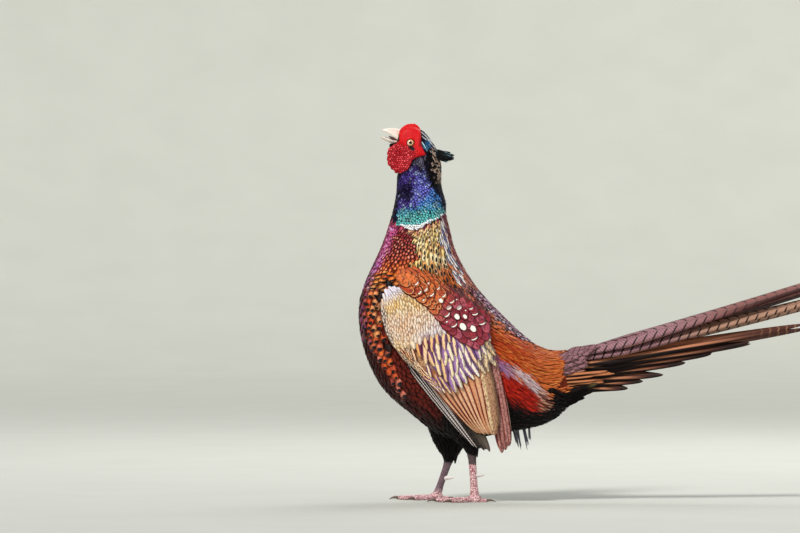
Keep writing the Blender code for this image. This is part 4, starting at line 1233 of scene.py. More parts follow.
def belly_finish():
    f, x, y, column, row, chance = base_vane("belly plumage")
    front, _, _ = f.read("mark")
    ground = f.mix(chance, (44, 8, 8), (72, 16, 8))
    # Lighter red-brown at the front of the belly: partly its own chestnut, partly painted highlight.
    ground.lay((front - 6).step(0, 10) * (column - (row - 340) * 0.55).step(404, 392) * 0.6, (120, 30, 12))
    ground.lay(column.step(440, 470), SOOT)
    ground.lay(row.step(410, 432), SOOT)
    colour = f.mix(rim_of(x, y).step(0.7, 0.95) * 0.6, ground, SOOT)
    return f.plume(colour, 0.65, 20, 0.2, 0.6, 0.4)


def mantle_finish():
    f, x, y, column, row, chance = base_vane("mantle plumage")
    _, under, _ = f.read("mark")
    second = other(chance)
    ground = f.mix(chance, (253, 236, 194), (250, 212, 130))
    ground.lay(second.step(0.75, 0.9) * 0.7, (232, 150, 72))
    ground.lay((row + (column - 425) * 0.3).step(262, 284), (210, 104, 44))
    ground.lay(under.step(12, 5) * 0.5, (236, 160, 120))
    colour = f.mix(y.step(0.44, 0.34), ground, (214, 160, 96))
    edge = (abs(x) + (y - 0.9) * 0.5).step(0.6, 0.8)
    colour.lay(edge * 0.92, f.mix(second, (120, 50, 24), (44, 18, 14)))
    aside = x + (second - 0.5) * 0.5 + (y - 0.78) * 0.6
    spot = oval(aside, y - 0.75 - chance * 0.07, second * 0.16 + 0.26, chance * 0.12 + 0.13)
    colour.lay(spot.step(1.15, 0.85) * second.step(0.03, 0.1), (14, 8, 6))
    colour = below_ring(f, colour, under, column, chance)
    return f.plume(colour, 0.55, 18, 0.3)


def streaks_finish():
    f, x, y, column, row, chance = base_vane("hind mantle plumage")
    _, under, behind = f.read("mark")
    second = other(chance)
    ground = f.mix(chance.step(0.35, 0.6), (242, 234, 232), (178, 182, 206))
    ground.lay(second.step(0.6, 0.7), (214, 128, 84))
    ground.lay(second.step(0.82, 0.88), (96, 110, 166))
    ground.lay(behind.step(5, 2.5), f.mix(chance, (190, 94, 74), (130, 76, 96)))
    ground.lay((row - 272).step(0, 20) * chance.step(0.3, 0.6), (200, 116, 92))
    edge = (abs(x) + (y - 0.9) * 0.5).step(0.42, 0.62)
    dark = f.mix(second.step(0.35, 0.5), (20, 12, 26), (120, 34, 30))
    colour = f.mix(edge, ground, dark)
    centre = oval(x, y - 0.76, 0.34, 0.16).step(1.15, 0.8) * chance.step(0.45, 0.55)
    colour.lay(centre, (18, 10, 24))
    colour = below_ring(f, colour, under, column, chance)
    return f.plume(colour, 0.55, 18, 0.3)


def back_finish():
    f, x, y, column, _, chance = base_vane("back plumage")
    _, _, behind = f.read("mark")
    second = other(chance)
    wave = (y * 1.7 - abs(x) * 0.7 + chance).wave()
    pale = f.mix(second.step(0.3, 0.8), (206, 184, 200), (170, 110, 140))
    pale.lay(behind.step(7, 14), (208, 124, 78))
    ground = f.mix(wave.step(0.1, 0.5), f.mix(second, (26, 12, 28), (96, 34, 40)), pale)
    ground.lay(behind.step(6, 2) * 0.7, f.mix(second.step(0.3, 0.7), (170, 116, 150), (104, 44, 56)))
    ground.lay(column.step(478, 498) * second.step(0.25, 0.5) * behind.step(8, 14), (200, 96, 42))
    rusty = rim_of(x, y, 2.2, 0.66).step(0.72, 0.95)
    colour = f.mix(rusty * 0.6, ground, (70, 24, 30))
    return f.plume(colour, 0.55, 18, 0.3)


def rump_finish():
    f, x, y, column, _, chance = base_vane("rump plumage")
    _, off, behind = f.read("mark")
    second = other(chance)
    ground = f.mix(chance, (186, 50, 16), (236, 112, 36))
    ground.lay(second.step(0.72, 1) * 0.7, (242, 156, 78))
    ground.lay(column.step(520, 548) * 0.4, (226, 134, 66))
    ground.lay(column.step(506, 489) * 0.6, (176, 50, 18))
    red = f.mix(chance, (160, 14, 8), (226, 44, 20))
    ground.lay(off.step(1, 11), red)
    ground.lay((off - 24 + (second - 0.5) * 8).step(0, 9), (50, 8, 8))
    sheen = (off + (second - 0.5) * 5).band(-4, 4, 4) * column.step(552, 538)
    lustre = f.mix(column.step(504, 522), (162, 128, 186), (230, 222, 232))
    ground.lay(sheen * (chance * 0.45 + 0.45), lustre)
    pale = column.step(534, 545) * off.step(-6, 3)
    ground.lay(pale, f.mix(second.step(0.4, 0.6), (216, 164, 132), (104, 52, 46)))
    fleck = (behind + (second - 0.5) * 8).step(24, 12) * chance.step(0.35, 0.5) * column.step(556, 540)
    ground.lay(fleck * y.step(0.72, 0.78) * y.step(0.98, 0.92) * 0.9, (56, 22, 42))
    thread = (x * 2 + y * 3).wave().step(-0.2, 0.7) * 0.22
    colour = f.mix(thread, ground, (120, 34, 14))
    colour.lay(abs(x).step(0.5, 0.9) * 0.5, (84, 20, 8))
    return f.plume(colour, 0.5, 22, 0.25, 0.9, 0.4, metallic=0.05)


def vent_finish(name="vent plumage"):
    f, _, y, column, row, chance = base_vane(name)
    ground = f.mix(chance, (8, 5, 5), (20, 9, 8))
    olive = column.step(586, 592) * y.step(0.45, 0.8) * row.step(398, 390)
    ground.lay(olive, (78, 66, 40))
    return f.plume(ground, 0.7, 24, 0.15, 0.8, 0.4)


def wisp_finish():
    f = Finish("vent wisp plumage")
    x, _ = f.vane()
    ground = f.mix(abs(x).step(0.2, 0.7), (112, 112, 122), (40, 38, 44))
    return f.plume(ground, 0.6, 24, 0.3, 0.8, 0.4)


def covert_finish():
    """Lesser coverts in one run, from the lilac bend to the cream field of the arm."""
    f, x, y, column, row, chance = base_vane("wing covert plumage")
    second = other(chance)
    warm = f.mix(chance, (252, 228, 184), (242, 194, 124))
    pinkish = f.mix(chance, (252, 232, 212), (244, 200, 162))
    cream = f.mix((row + (column - 400) * 0.2).step(306, 322), warm, pinkish)
    pale = (column * 0.9 + row).step(700, 724) * row.step(352, 340)
    cream.lay(pale * 0.8, f.mix(chance, (254, 250, 246), (224, 214, 228)))
    cream.lay(row.step(334, 348) * 0.6, (250, 214, 150))
    cream.lay(row.step(326, 344) * (column - 418).step(0, 10) * second.step(0.7, 0.8), (150, 96, 150))
    fleck = oval(x, y - 0.84, 0.45, 0.13).step(1.2, 0.5) * second.step(0.45, 0.65)
    cream.lay(fleck * 0.6, (140, 88, 50))
    grain = f.noise(700, stretch=(1.8, 1, 0.6))
    cream.lay(grain.step(0.5, 0.62) * 0.3, (176, 116, 66))
    bend = (column * 0.55 + row).step(521, 507)
    colour = f.mix(bend, cream, f.mix(chance * 0.5 + grain * 0.2, (244, 236, 246), (212, 196, 220)))
    edge = rim_of(x, y, 2.2, 0.62)
    colour.lay(edge.step(0.85, 1) * (0.22 - bend * 0.16), (150, 104, 74))
    lead = (column - (row.step(320, 350) * 9 + 381.5)).step(8, 2) * row.step(302, 312)
    grey = f.mix(edge.step(0.35, 0.75), (216, 198, 190), (66, 50, 58))
    colour.lay(lead * 0.9, grey)
    return f.plume(colour, 0.62, 20, 0.25)


def leading(f, x):
    """Across a wing feather: 1 at its leading edge, -1 at its trailing edge, on either side of the bird."""
    _, y_place, _ = f.parts(f.spot())
    return x * y_place.math("SIGN")


def lance_finish():
    """Greater coverts: cream lances on lavender, maroon and gold towards the front."""
    f, x, y, column, row, chance = base_vane("greater covert plumage")
    second = other(chance)
    lead = leading(f, x)
    n = f.noise(620)
    streak = f.noise(330, 2, 0.6, stretch=(1.8, 1, 0.45))
    cream = f.mix(column.step(410, 450), (244, 178, 96), (252, 224, 168))
    cream.lay(chance * 0.6, (254, 242, 218))
    cream.lay(column.step(448, 462) * 0.5, (252, 246, 240))
    cream.lay(second.step(0.5, 0.9) * 0.5, (242, 168, 84))
    speckled = row.step(374, 386) * 0.6 + column.step(418, 408) * 0.8 + 0.25
    cream.lay(n.step(0.5, 0.62) * speckled.least(1), (120, 88, 66))
    hind = (column + (row - 350) * 0.3 + (second - 0.5) * 18).step(418, 448)
    half = chance * 0.16 + 0.26 + (1 - hind) * 0.04
    off = abs(lead - (second - 0.5) * 0.6) - half + (streak - 0.5) * 0.7
    violet = f.mix(hind, (150, 50, 40), (172, 128, 186))
    violet.lay(second.step(0.5, 0.9) * 0.6, (112, 52, 96))
    violet.lay(off.step(0.16, 0.02) * 0.7, (92, 36, 66))
    colour = f.mix(off.step(-0.06, 0.04) * y.step(0.985, 0.93), cream, violet)
    rear = (column + (second - 0.5) * 6).step(476, 484) * (row + (chance - 0.5) * 14).step(342, 356)
    lined = (streak.step(0.48, 0.56) * 0.8 + n.step(0.52, 0.6) * 0.4).least(1)
    colour.lay(rear * 0.75, f.mix(lined, (236, 206, 150), (60, 46, 46)))
    colour.lay(abs(x).step(0.86, 0.97) * 0.45, (104, 62, 54))
    return f.plume(colour, 0.6, 26, 0.25)


def arm_finish():
    """The covered arm under its coverts."""
    f = Finish("skin of the wing's arm")
    column, row = f.here()
    grain = f.noise(620)
    colour = f.mix(grain.step(0.4, 0.62), (226, 182, 136), (170, 116, 84))
    colour.lay((column + (row - 350) * 0.3).step(424, 452) * row.step(334, 344), (150, 116, 160))
    return f.close(colour, 0.7, f.bump(grain, 0.4, 0.0004), Specular_IOR_Level=0.2)


def scapular_finish():
    """White drops and crescents inside a cream ring, on orange in front and maroon behind."""
    f, x, y, column, row, chance = base_vane("scapular plumage")
    size, fullness, gloom = f.read("mark")
    second = other(chance)
    behind = (column + (row - 300) * 0.5).step(438, 458)
    fore, hind = f.mix(chance, (228, 116, 54), (178, 58, 26)), f.mix(chance, (176, 48, 60), (130, 30, 44))
    ground = f.mix(behind, fore, hind)
    ground.lay(second.step(0.4, 0.9) * behind * 0.5, (206, 104, 124))
    ground.lay(gloom, f.mix(second.step(0.4, 0.8), (54, 14, 14), (200, 98, 56)))
    hair = f.noise(480, stretch=(0.7, 1, 0.7))
    ground.lay(hair.step(0.46, 0.6) * 0.75, f.mix(behind, (96, 28, 12), (90, 16, 34)))
    tick = (y + x * 0.2).band(0.84, 0.89, 0.03) * abs(x + (second - 0.5) * 0.6).step(0.75, 0.5)
    ground.lay(tick * (1 - behind) * second.step(0.25, 0.4) * size.step(0.2, -0.2), (30, 10, 10))
    across, ahead = x * 5.2, (y - 0.78) * 17
    open_share = 1 - fullness
    broad, deep = open_share * 0.75 + 1.55, 2 - open_share * 0.75
    drop = ((across / broad) ** 2 + (ahead / deep) ** 2) ** 0.5
    bite = ((across / (broad * 1.15)) ** 2 + ((ahead + 1.15) / deep) ** 2) ** 0.5
    rim = rim_of(x, y, 2, 0.6)
    ring = rim.band(0.66, 0.7, 0.05) * (1 - gloom) * (second * 0.6 + 0.2) * (1 - behind * 0.6)
    colour = f.mix(ring, ground, f.mix(behind, (250, 196, 130), (214, 130, 160)))
    colour.lay(rim.step(0.78, 0.92) * (0.9 - behind * 0.55), f.mix(behind, (74, 16, 10), (76, 12, 28)))
    colour.lay((drop - size).step(0.5, 0.15) * 0.9, (34, 8, 12))
    inner = f.mix(behind, (214, 104, 62), (150, 52, 62))
    colour.lay((bite - size).step(0, -0.35) * (drop - size).step(0.2, -0.1) * open_share, inner)
    white = (drop - size).step(0.08, -0.1) * (1 - (bite - size).step(0.16, -0.02) * open_share)
    colour.lay(white, (252, 246, 234))
    colour.lay(y.step(0.46, 0.36) * behind, (100, 30, 26))
    return f.plume(colour, 0.5, 22, 0.3, 0.5, 0.35, metallic=0.04)


def quill_finish():
    """Secondaries."""
    f, x, _, _, _, chance = base_vane("secondary plumage")
    lead = leading(f, x)
    index, _, _ = f.read("mark")
    tan = f.mix(chance, (236, 186, 146), (216, 150, 108))
    streak = f.noise(300, stretch=(1, 1, 2.5)).step(0.48, 0.62)
    tan.lay(streak * 0.4, (160, 96, 62))
    lined = f.noise(520, stretch=(1.6, 1, 0.7)).step(0.48, 0.58)
    tan.lay(index.step(0.84, 0.96) * 0.85, f.mix(lined * 0.8, (234, 204, 158), (74, 54, 44)))
    tan.lay(lead.step(0.55, 0.68), (134, 34, 14))
    tan.lay(lead.step(0.82, 0.91), (250, 214, 180))
    # Painted shade near the shaft and over the trailing web, under the next secondary.
    tan.lay(lead.step(0.2, 0.06) * 0.6, (130, 64, 42))
    return f.plume(tan, 0.6, 90, 0.25, 0.25)


def tertial_finish():
    f, x, _, _, _, chance = base_vane("tertial plumage")
    mauve = f.mix(f.noise(420).step(0.42, 0.6), (186, 128, 118), (134, 78, 74))
    mauve.lay((abs(x) + (chance - 0.5) * 0.2).step(0.58, 0.7) * abs(x).step(0.92, 0.8), (120, 34, 28))
    mauve.lay(abs(x).step(0.86, 0.94), (226, 190, 172))
    mauve.lay(abs(x).step(0.09, 0.03), (90, 40, 34))
    return f.plume(mauve, 0.55, 80, 0.3, 0.3)


def primary_finish():
    f, x, y, _, _, chance = base_vane("primary plumage")
    lead = leading(f, x)
    index, _, _ = f.read("mark")
    dark = f.mix(f.noise(300, 2, 0.5).step(0.45, 0.62) * 0.6, (28, 20, 18), (66, 54, 46))
    dark.lay(index.step(0.5, 1) * y.step(0.7, 0.95) * 0.6, (120, 106, 92))
    ticks = (y * 46 + chance).wave().step(0.35, 0.7)
    white = f.mix(ticks * 0.55, (250, 236, 234), (110, 84, 84))
    edge = lead.step(0.52, 0.66) * index.step(0.58, 0.42) + lead.step(0.8, 0.9) * 0.3
    edge = edge + abs(lead - 0.16).step(0.1, 0.04) * index.step(0.35, 0.15)
    return f.plume(f.mix(edge.least(1), dark, white), 0.55, 90, 0.25, 0.25)


def alula_finish():
    f, x, _, _, _, _ = base_vane("alula plumage")
    colour = f.mix(f.noise(640).step(0.46, 0.58), (206, 176, 150), (66, 54, 46))
    colour.lay(abs(x).step(0.8, 0.95), (110, 86, 74))
    return f.plume(colour, 0.55, 40, 0.3, 0.25)


def tail_finish():
    """Mauve at the root, buff behind it, with dark bars that lean back; the outer feathers dark."""
    f, x, y, column, row, chance = base_vane("tail plumage")
    outer = x * (row * 2 - 1)
    far = f.mix(column.step(0.02, 0.1), (128, 78, 72), (166, 126, 104))
    ground = f.mix(y.step(0.22, 0.5), (152, 110, 116), far)
    thread = (y * (118 - column * 84) - abs(x) * 1.6).wave()
    ground.lay(thread.step(0.35, 0.9) * y.step(0.5, 0.25) * 0.55, (78, 40, 50))
    lean = abs(x) * 0.62 + abs(x) * abs(x) * 0.25
    bars = (y * (35 - column * 27) + lean + chance).wave()
    colour = f.mix(bars.step(0.74, 0.88) * abs(x).step(0.02, 0.25), ground, (26, 12, 12))
    shade = column.step(0.04, 0) * y.step(0.36, 0.56) * outer.step(0.05, 0.35)
    colour.lay(shade, (54, 20, 16))
    lower = column.step(0.16, 0.22)
    black = outer.step(0.44, 0.56)
    rosy = f.mix(y.step(0.45, 0.8), (190, 124, 90), (84, 48, 36))
    rosy.lay(abs(outer - 0.16).step(0.12, 0.05) * 0.8, (60, 24, 18))
    dark = f.mix(black, rosy, (24, 10, 8))
    dark.lay(bars.step(0.8, 0.9) * column.step(0.3, 0.24) * y.step(0.74, 0.9) * 0.55, (180, 130, 98))
    colour.lay(lower, f.mix(y.step(0.72, 0.92) * column.step(0.24, 0.34) * 0.9, dark, (20, 12, 10)))
    colour.lay(abs(x).step(0.84, 0.95) * (1 - lower) * 0.6, (186, 130, 100))
    colour.lay(abs(x).step(0.05, 0.015) * 0.8, (84, 54, 48))
    return f.plume(colour, 0.6, 160, 0.2, 0.12)


def tail_covert_finish():
    f, x, y, _, row, chance = base_vane("tail covert plumage")
    ground = f.mix(chance, (160, 116, 122), (146, 102, 110))
    thread = (y * 13 - abs(x) * 2.2 + chance).wave().step(0.3, 0.8)
    colour = f.mix(thread * 0.65, ground, (72, 34, 44))
    bars = (y * 3.2 - abs(x) * 0.9 + chance).wave().step(0.8, 0.92)
    colour.lay(bars * 0.9, (30, 14, 18))
    striped = f.mix(abs(x + 0.1).step(0.3, 0.55), (192, 120, 78), (34, 12, 8))
    striped.lay(chance.step(0.6, 0.8) * 0.7, (110, 58, 44))
    colour.lay((row + (chance - 0.5) * 1.5).step(371.5, 373.5), striped)
    return f.plume(colour, 0.6, 24, 0.2, 0.3)


# Skin, face, horn and scales

def piece_of(name, bm, material, parts, slot):
    """Turns a bmesh in layout places into a finished piece."""
    bmesh.ops.recalc_face_normals(bm, faces=bm.faces)
    mesh = bpy.data.meshes.new(name)
    bm.to_mesh(mesh)
    bm.free()
    mesh.transform(Matrix.Translation((-MIDDLE_X, 0, 0)))
    piece = linked(name, mesh)
    mesh.materials.append(material)
    mesh.shade_smooth()
    dress(piece, parts, slot)
    return piece


def dress(piece, parts, slot):
    if parts:
        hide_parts(*parts)
    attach(piece, "root")


def join(bm, low, high):
    """Quads between two rings of equally many points."""
    for i in range(len(low)):
        j = (i + 1) % len(low)
        bm.faces.new((low[i], low[j], high[j], high[i]))


def add_loft(bm, rings):
    """Quads through rings of equally many points, with both ends closed."""
    rows = [[bm.verts.new(tuple(p)) for p in ring] for ring in rings]
    for low, high in zip(rows, rows[1:]):
        join(bm, low, high)
    for row in (rows[0], rows[-1]):
        middle = bm.verts.new(sum((v.co for v in row), Vector()) / len(row))
        for i in range(len(row)):
            bm.faces.new((row[i], row[(i + 1) % len(row)], middle))


def loft(rings):
    bm = bmesh.new()
    add_loft(bm, rings)
    return bm


def add_tube(bm, path, radii, sides, floor=None):
    """A round tube along path."""
    path = [Vector(p) for p in path]
    rings = []
    for i, (p, r) in enumerate(zip(path, radii)):
        ahead = (path[min(i + 1, len(path) - 1)] - path[max(i - 1, 0)]).normalized()
        across = ahead.cross(Vector((0, 0, 1)))
        if across.length < 0.2:
            across = Vector((0, 1, 0))
        across.normalize()
        up = across.cross(ahead)
        ring = []
        for k in range(sides):
            turn = math.tau * (k + 0.5) / sides
            q = p + across * (r * math.cos(turn)) + up * (r * math.sin(turn))
            if floor is not None:
                q.z = max(q.z, floor)
            ring.append(q)
        rings.append(ring)
    add_loft(bm, rings)


def skin_finish():
    """The markings of the coat over it, darkened as painted shade, so that a gap between feathers doesn't
    show.
    """
    f = Finish("skin under the plumage")
    column, row = f.here()
    chance = f.noise(900, 2, 0.5)
    body = f.mix(column.step(410, 440) * row.step(300, 260), (150, 52, 24), (150, 100, 54))
    # Purple towards the front: the painted sheen of the breast, as on the coat.
    body.lay((column - 392 + (row - 228) * 0.46).step(0, -5), (130, 50, 96))
    body.lay(row.step(385, 415), SOOT)
    body.lay(column.step(476, 490), (150, 52, 20))
    ring = row - 228 + (column - 413).most(0) * 0.42
    colour = f.mix(ring.step(-1, 1), head_and_neck(f, column, row, chance), body)
    # Painted shade: the coat's colours darkened towards black, as deep in the gaps between feathers.
    colour.lay(0.45, BLACK)
    under = (row + (column - 512) * 0.12 - 404).step(-3, 3) * column.step(480, 496)
    colour.lay(under, SOOT)
    return f.close(colour, 0.75, f.bump(f.noise(500), 0.4, 0.0004), Specular_IOR_Level=0.2)


SKIN_DEPTHS = (
    (0, 0.0090), (along(0.25), 0.0022), (NECK_AT, 0.0022), (along(9), 0.0018), (HEAD_AT, 0.0012),
    (KNOTS[-1], 0.0006),
)


def make_skin(material):
    s = np.concatenate([np.linspace(0.0, NECK_AT, 90), np.linspace(NECK_AT, KNOTS[-1], 90)[1:]])
    turns = np.arange(72) * math.tau / 72
    rings = []
    for a in s:
        depth = line(SKIN_DEPTHS, a)
        rings.append(body_points(np.full(72, a), turns, -depth))
    bm = loft(rings)
    for label, _ in SIDES:
        top, ankle = Vector(THIGH_TOPS[label]), Vector(ANKLES[label])
        shape = np.array(THIGH_SHAPE)
        rings = []
        for t in np.linspace(0, 1, 24):
            half_x = np.interp(t, shape[:, 0], shape[:, 1]) - 0.0016
            half_y = np.interp(t, shape[:, 0], shape[:, 2]) - 0.0016
            middle = top.lerp(ankle, t)
            spokes = [Vector((half_x * math.cos(a), half_y * math.sin(a), 0)) for a in turns[::2]]
            rings.append([middle + spoke for spoke in spokes])
        add_loft(bm, rings)
    piece_of("skin", bm, material, ("torso", "neck", "head", "thigh_left", "thigh_right"), "breast")


def face_finish():
    f = Finish("bare red skin")
    column, row = f.here()
    grain, chance, _ = f.read("grain")
    low = (row - (column - 400) * 0.3).step(141, 147) * column.step(421, 412)
    ground = f.mix(f.noise(380).step(0.35, 0.65), SCARLET, (206, 6, 16))
    pebble = f.mix(chance.step(0.15, 0.85), (176, 6, 24), (240, 50, 62))
    # Painted highlight: lighter pink on the crowns of some grains.
    pebble.lay(grain.step(0.45, 0.95) * chance.step(0.45, 0.8) * 0.75, (252, 112, 118))
    # Painted shade: darker red in the grooves between grains.
    pebble.lay(grain.step(0.55, 0.1), (96, 0, 12))
    ground.lay(low * 0.92, pebble)
    # Painted shade in the grooves of the upper face.
    ground.lay(grain.step(0.3, 0.05) * (1 - low) * 0.25, CRIMSON)
    eye_c, eye_r = to_grid(np.array((EYE_AT[0], 0, EYE_AT[1])))
    off = ((column - float(eye_c)) ** 2 + (row - float(eye_r)) ** 2) ** 0.5
    ground.lay(off.step(4.35, 3.75), (70, 26, 16))
    c, n = math.cos(math.radians(38)), math.sin(math.radians(38))
    dx, dy = column - 411.6, row - 148.3
    patch = oval(dx * c + dy * n, dy * c - dx * n, 3.7, 1.9).step(1.3, 0.75)
    ground.lay(patch, (24, 6, 10))
    ground.lay(column.step(399.8, 399) * row.band(135, 141, 1.5), (40, 6, 10))
    ground.lay((column - 417).step(0.5, 3) * row.band(141, 146, 3) * 0.7, CRIMSON)
    fine = f.noise(1400)
    return f.close(ground, 0.5, f.bump(fine + grain * 0.6, 0.5, 0.0003), Specular_IOR_Level=0.22)


def face_sheet(count, shares):
    """The bare face of the right side: its rings of points and the grain at each."""
    eye_stand = surface_y(*EYE_AT)
    turns = math.tau * np.arange(count) / count - math.pi
    reach = face_reach(np.degrees(turns))
    hanging = smooth((reach - 0.019) / 0.010)
    fine, coarse = 0.5 + 0.5 * np.cos(turns * 37), 0.5 + 0.5 * np.cos(turns * 15 + 1.0)
    lobe = 1 - 0.030 * hanging * fine - 0.025 * hanging * coarse
    heights = ((0.0, 0.0016), (0.03, 0.0024), (0.10, 0.0015), (0.4, 0.0019), (0.72, 0.0029), (0.90, 0.0026),
               (0.97, 0.0015), (1.0, 0.0004))
    places, points = [], []
    for share in shares:
        rim = 1 + (lobe - 1) * share
        r = LID_RADIUS + (reach * rim - LID_RADIUS) * share
        x = EYE_AT[0] - np.cos(turns) * r
        z = EYE_AT[1] + np.sin(turns) * r
        stand = CROWN_STAND + (LOBE_STAND - CROWN_STAND) * smooth((EYE_AT[1] - z) / 0.008 + 0.5)
        body = np.array([surface_y(a, b) for a, b in zip(x, z)])
        near = float(smooth(share / 0.2))
        y = np.maximum(np.maximum(body, eye_stand + (body - eye_stand) * near), stand)
        y += line(heights, share)
        places.append(columns(COLUMN_0 + x / GRID, ROW_0 - z / GRID))
        points.append(columns(x, y, z))
    grain = face_grain(np.concatenate(places)).reshape(len(shares), count, 3)
    low = smooth((np.stack(places)[:, :, 1] - 145) / 8)
    rise = grain[:, :, 0] * (0.00010 + 0.00075 * low)
    rise *= smooth(np.asarray(shares) / 0.08)[:, None]
    points = np.stack(points)
    points[:, :, 1] += rise
    return points, grain


FACE_SHARES = np.concatenate([np.linspace(0, 0.12, 8), np.linspace(0.12, 1.0, 76)[1:]])
FACE_POINTS, FACE_GRAIN = face_sheet(420, FACE_SHARES)


def make_face(label, side, material):
    """The bare face with its lid ring, hanging lobes and grain."""
    points = FACE_POINTS.copy()
    under = []
    for n, sink in ((-1, 0.0015), (-24, 0.0035), (1, 0.0035)):
        ring = FACE_POINTS[n].copy()
        ring[:, 1] = np.maximum(ring[:, 1] - sink, 0.0003)
        under.append(ring)
    points = np.concatenate([points, np.stack(under)])
    points[:, :, 1] *= side
    grain = np.concatenate([FACE_GRAIN, np.zeros((3, *FACE_GRAIN.shape[1:]))])
    bm = bmesh.new()
    layer = bm.verts.layers.float_vector.new("grain")
    rows = []
    for ring, kinds in zip(points, grain):
        verts = []
        for p, kind in zip(ring, kinds):
            v = bm.verts.new(p)
            v[layer] = kind
            verts.append(v)
        rows.append(verts)
    for low, high in zip(rows, rows[1:] + rows[:1]):
        join(bm, low, high)
    return piece_of(f"face_skin_{label}", bm, material, (f"face_{label}",), "face")


def eye_finish():
    f = Finish("eye")
    x, _, z = f.parts(f.spot())
    dx = x - (EYE_AT[0] - MIDDLE_X)
    dz = z - EYE_AT[1]
    off = ((dx * dx + dz * dz) ** 0.5) / 0.001
    ring = f.noise(1500)
    iris = f.mix(off.step(2, 3.9), (246, 190, 132), (222, 136, 74))
    iris.lay(ring.step(0.4, 0.7) * 0.35, (255, 226, 186))
    iris.lay((dx / 0.001).step(-1.4, -3.2) * 0.7, (252, 238, 220))
    colour = f.mix(off.step(2.25, 1.85), iris, (70, 30, 16))
    colour.lay(off.step(1.85, 1.6), (3, 3, 5))
    colour.lay(off.step(3.9, 4.2), (40, 20, 14))
    return f.close(colour, 0.12, None, Coat_Weight=1, Coat_Roughness=0.03)


def eye_centre(side):
    return Vector((EYE_AT[0], side * (surface_y(*EYE_AT) - EYE_SINK), EYE_AT[1]))


def make_eye(label, side, material):
    bm = bmesh.new()
    bmesh.ops.create_uvsphere(bm, u_segments=48, v_segments=32, radius=EYE_RADIUS)
    bm.transform(Matrix.Translation(eye_centre(side)) @ Matrix.Rotation(math.radians(90), 4, "X"))
    return piece_of(f"eyeball_{label}", bm, material, (f"eye_{label}",), "eye")


UPPER_BILL = (
    (-0.0815, 0.4536, -0.0812, 0.4660, 0.0066),
    (-0.0875, 0.4584, -0.0877, 0.4662, 0.0052),
    (-0.0927, 0.4610, -0.0932, 0.4655, 0.0036),
    (-0.0958, 0.4621, -0.0962, 0.4645, 0.0021),
    (-0.0974, 0.4626, -0.0977, 0.4632, 0.0009),
)
LOWER_BILL = (
    (-0.0840, 0.4508, -0.0838, 0.4462, 0.0060),
    (-0.0892, 0.4530, -0.0890, 0.4482, 0.0050),
    (-0.0943, 0.4545, -0.0942, 0.4508, 0.0036),
    (-0.0980, 0.4551, -0.0980, 0.4532, 0.0019),
    (-0.0999, 0.4553, -0.1000, 0.4546, 0.0008),
)
UPPER_BILL_ROOT = (0.70, -0.05, 0.0078)
LOWER_BILL_ROOT = (0.76, 1.03, 0.0068)
TONGUE = ((-0.0815, 0.0024), (-0.0870, 0.0022), (-0.0915, 0.0015), (-0.0940, 0.0006))


def bill_rings(root, rows, count):
    share_edge, share_ridge, root_width = root
    back_x, back_z, front_x, front_z, _ = BODY(KNOTS[-1])[0]
    back, front = Vector((back_x, back_z)), Vector((front_x, front_z))
    edge, ridge = back.lerp(front, share_edge), back.lerp(front, share_ridge)
    every = [(edge.x, edge.y, ridge.x, ridge.y, root_width)] + list(rows)
    curve = Spline(np.linspace(0, 1, len(every)), every)
    rings = []
    for t in np.linspace(0, 1, count):
        ex, ez, rx, rz, half = curve(t)[0]
        middle, rise = Vector((ex, 0, ez)), Vector((rx - ex, 0, rz - ez))
        ring = []
        for k in range(28):
            turn = math.tau * k / 28
            c, n = math.cos(turn), math.sin(turn)
            lift = c if c > 0 else 0.02 * c
            ring.append(middle + rise * lift + Vector((0, -n * half, 0)))
        rings.append(ring)
    return rings


def bill_finish():
    f = Finish("horn of the bill")
    column, row = f.here()
    hollow = f.read("inside", "Fac")
    grain = f.noise(300, stretch=(0.3, 1, 1))
    horn = f.mix(grain.step(0.35, 0.65), (244, 232, 220), (224, 204, 190))
    horn.lay(column.step(392, 399) * 0.5, (226, 180, 168))
    under = (row - (column - 380) * 0.36 - 139.2).step(0.2, 1.2)
    horn.lay(under * 0.8, (110, 70, 54))
    horn.lay(column.step(397.8, 399.2) * row.step(132.5, 135), (56, 18, 22))
    horn.lay(hollow.step(0.3, 0.7), (44, 14, 14))
    return f.close(horn, 0.4, f.bump(grain, 0.2, 0.0003), Coat_Weight=0.15)


def mouth_lining(material):
    """The dark corners of the open mouth, between the cutting edges of the two halves of the bill."""
    bm = bmesh.new()
    upper, lower = bill_rings(UPPER_BILL_ROOT, UPPER_BILL, 26), bill_rings(LOWER_BILL_ROOT, LOWER_BILL, 26)
    rings = []
    for n in range(0, 12):
        high, low = upper[n][7], lower[n][7]
        narrow = 0.80 - 0.05 * n
        top, foot = Vector((high.x, 0, high.z)), Vector((low.x, 0, low.z))
        half = abs(high.y) * narrow
        middle = (top + foot) / 2
        rise = (top - foot) / 2
        shrink = 1.04 if n < 6 else 1.04 - 0.16 * (n - 5)
        turns = [math.tau * k / 16 for k in range(16)]
        aside = Vector((0, half, 0))
        rings.append([middle + rise * (shrink * math.cos(a)) + aside * math.sin(a) for a in turns])
    add_loft(bm, rings)
    piece_of("mouth_lining", bm, material, (), "mouth")


def bill_piece(name, root, rows, material, node):
    rings = bill_rings(root, rows, 26)
    bm = loft(rings)
    layer = bm.verts.layers.float.new("inside")
    bm.verts.ensure_lookup_table()
    count = len(rings[0])
    for i in range(len(rings) * count):
        bm.verts[i][layer] = 1.0 if math.cos(math.tau * (i % count) / count) < -0.05 else 0.0
    piece_of(name, bm, material, (node,), "bill")


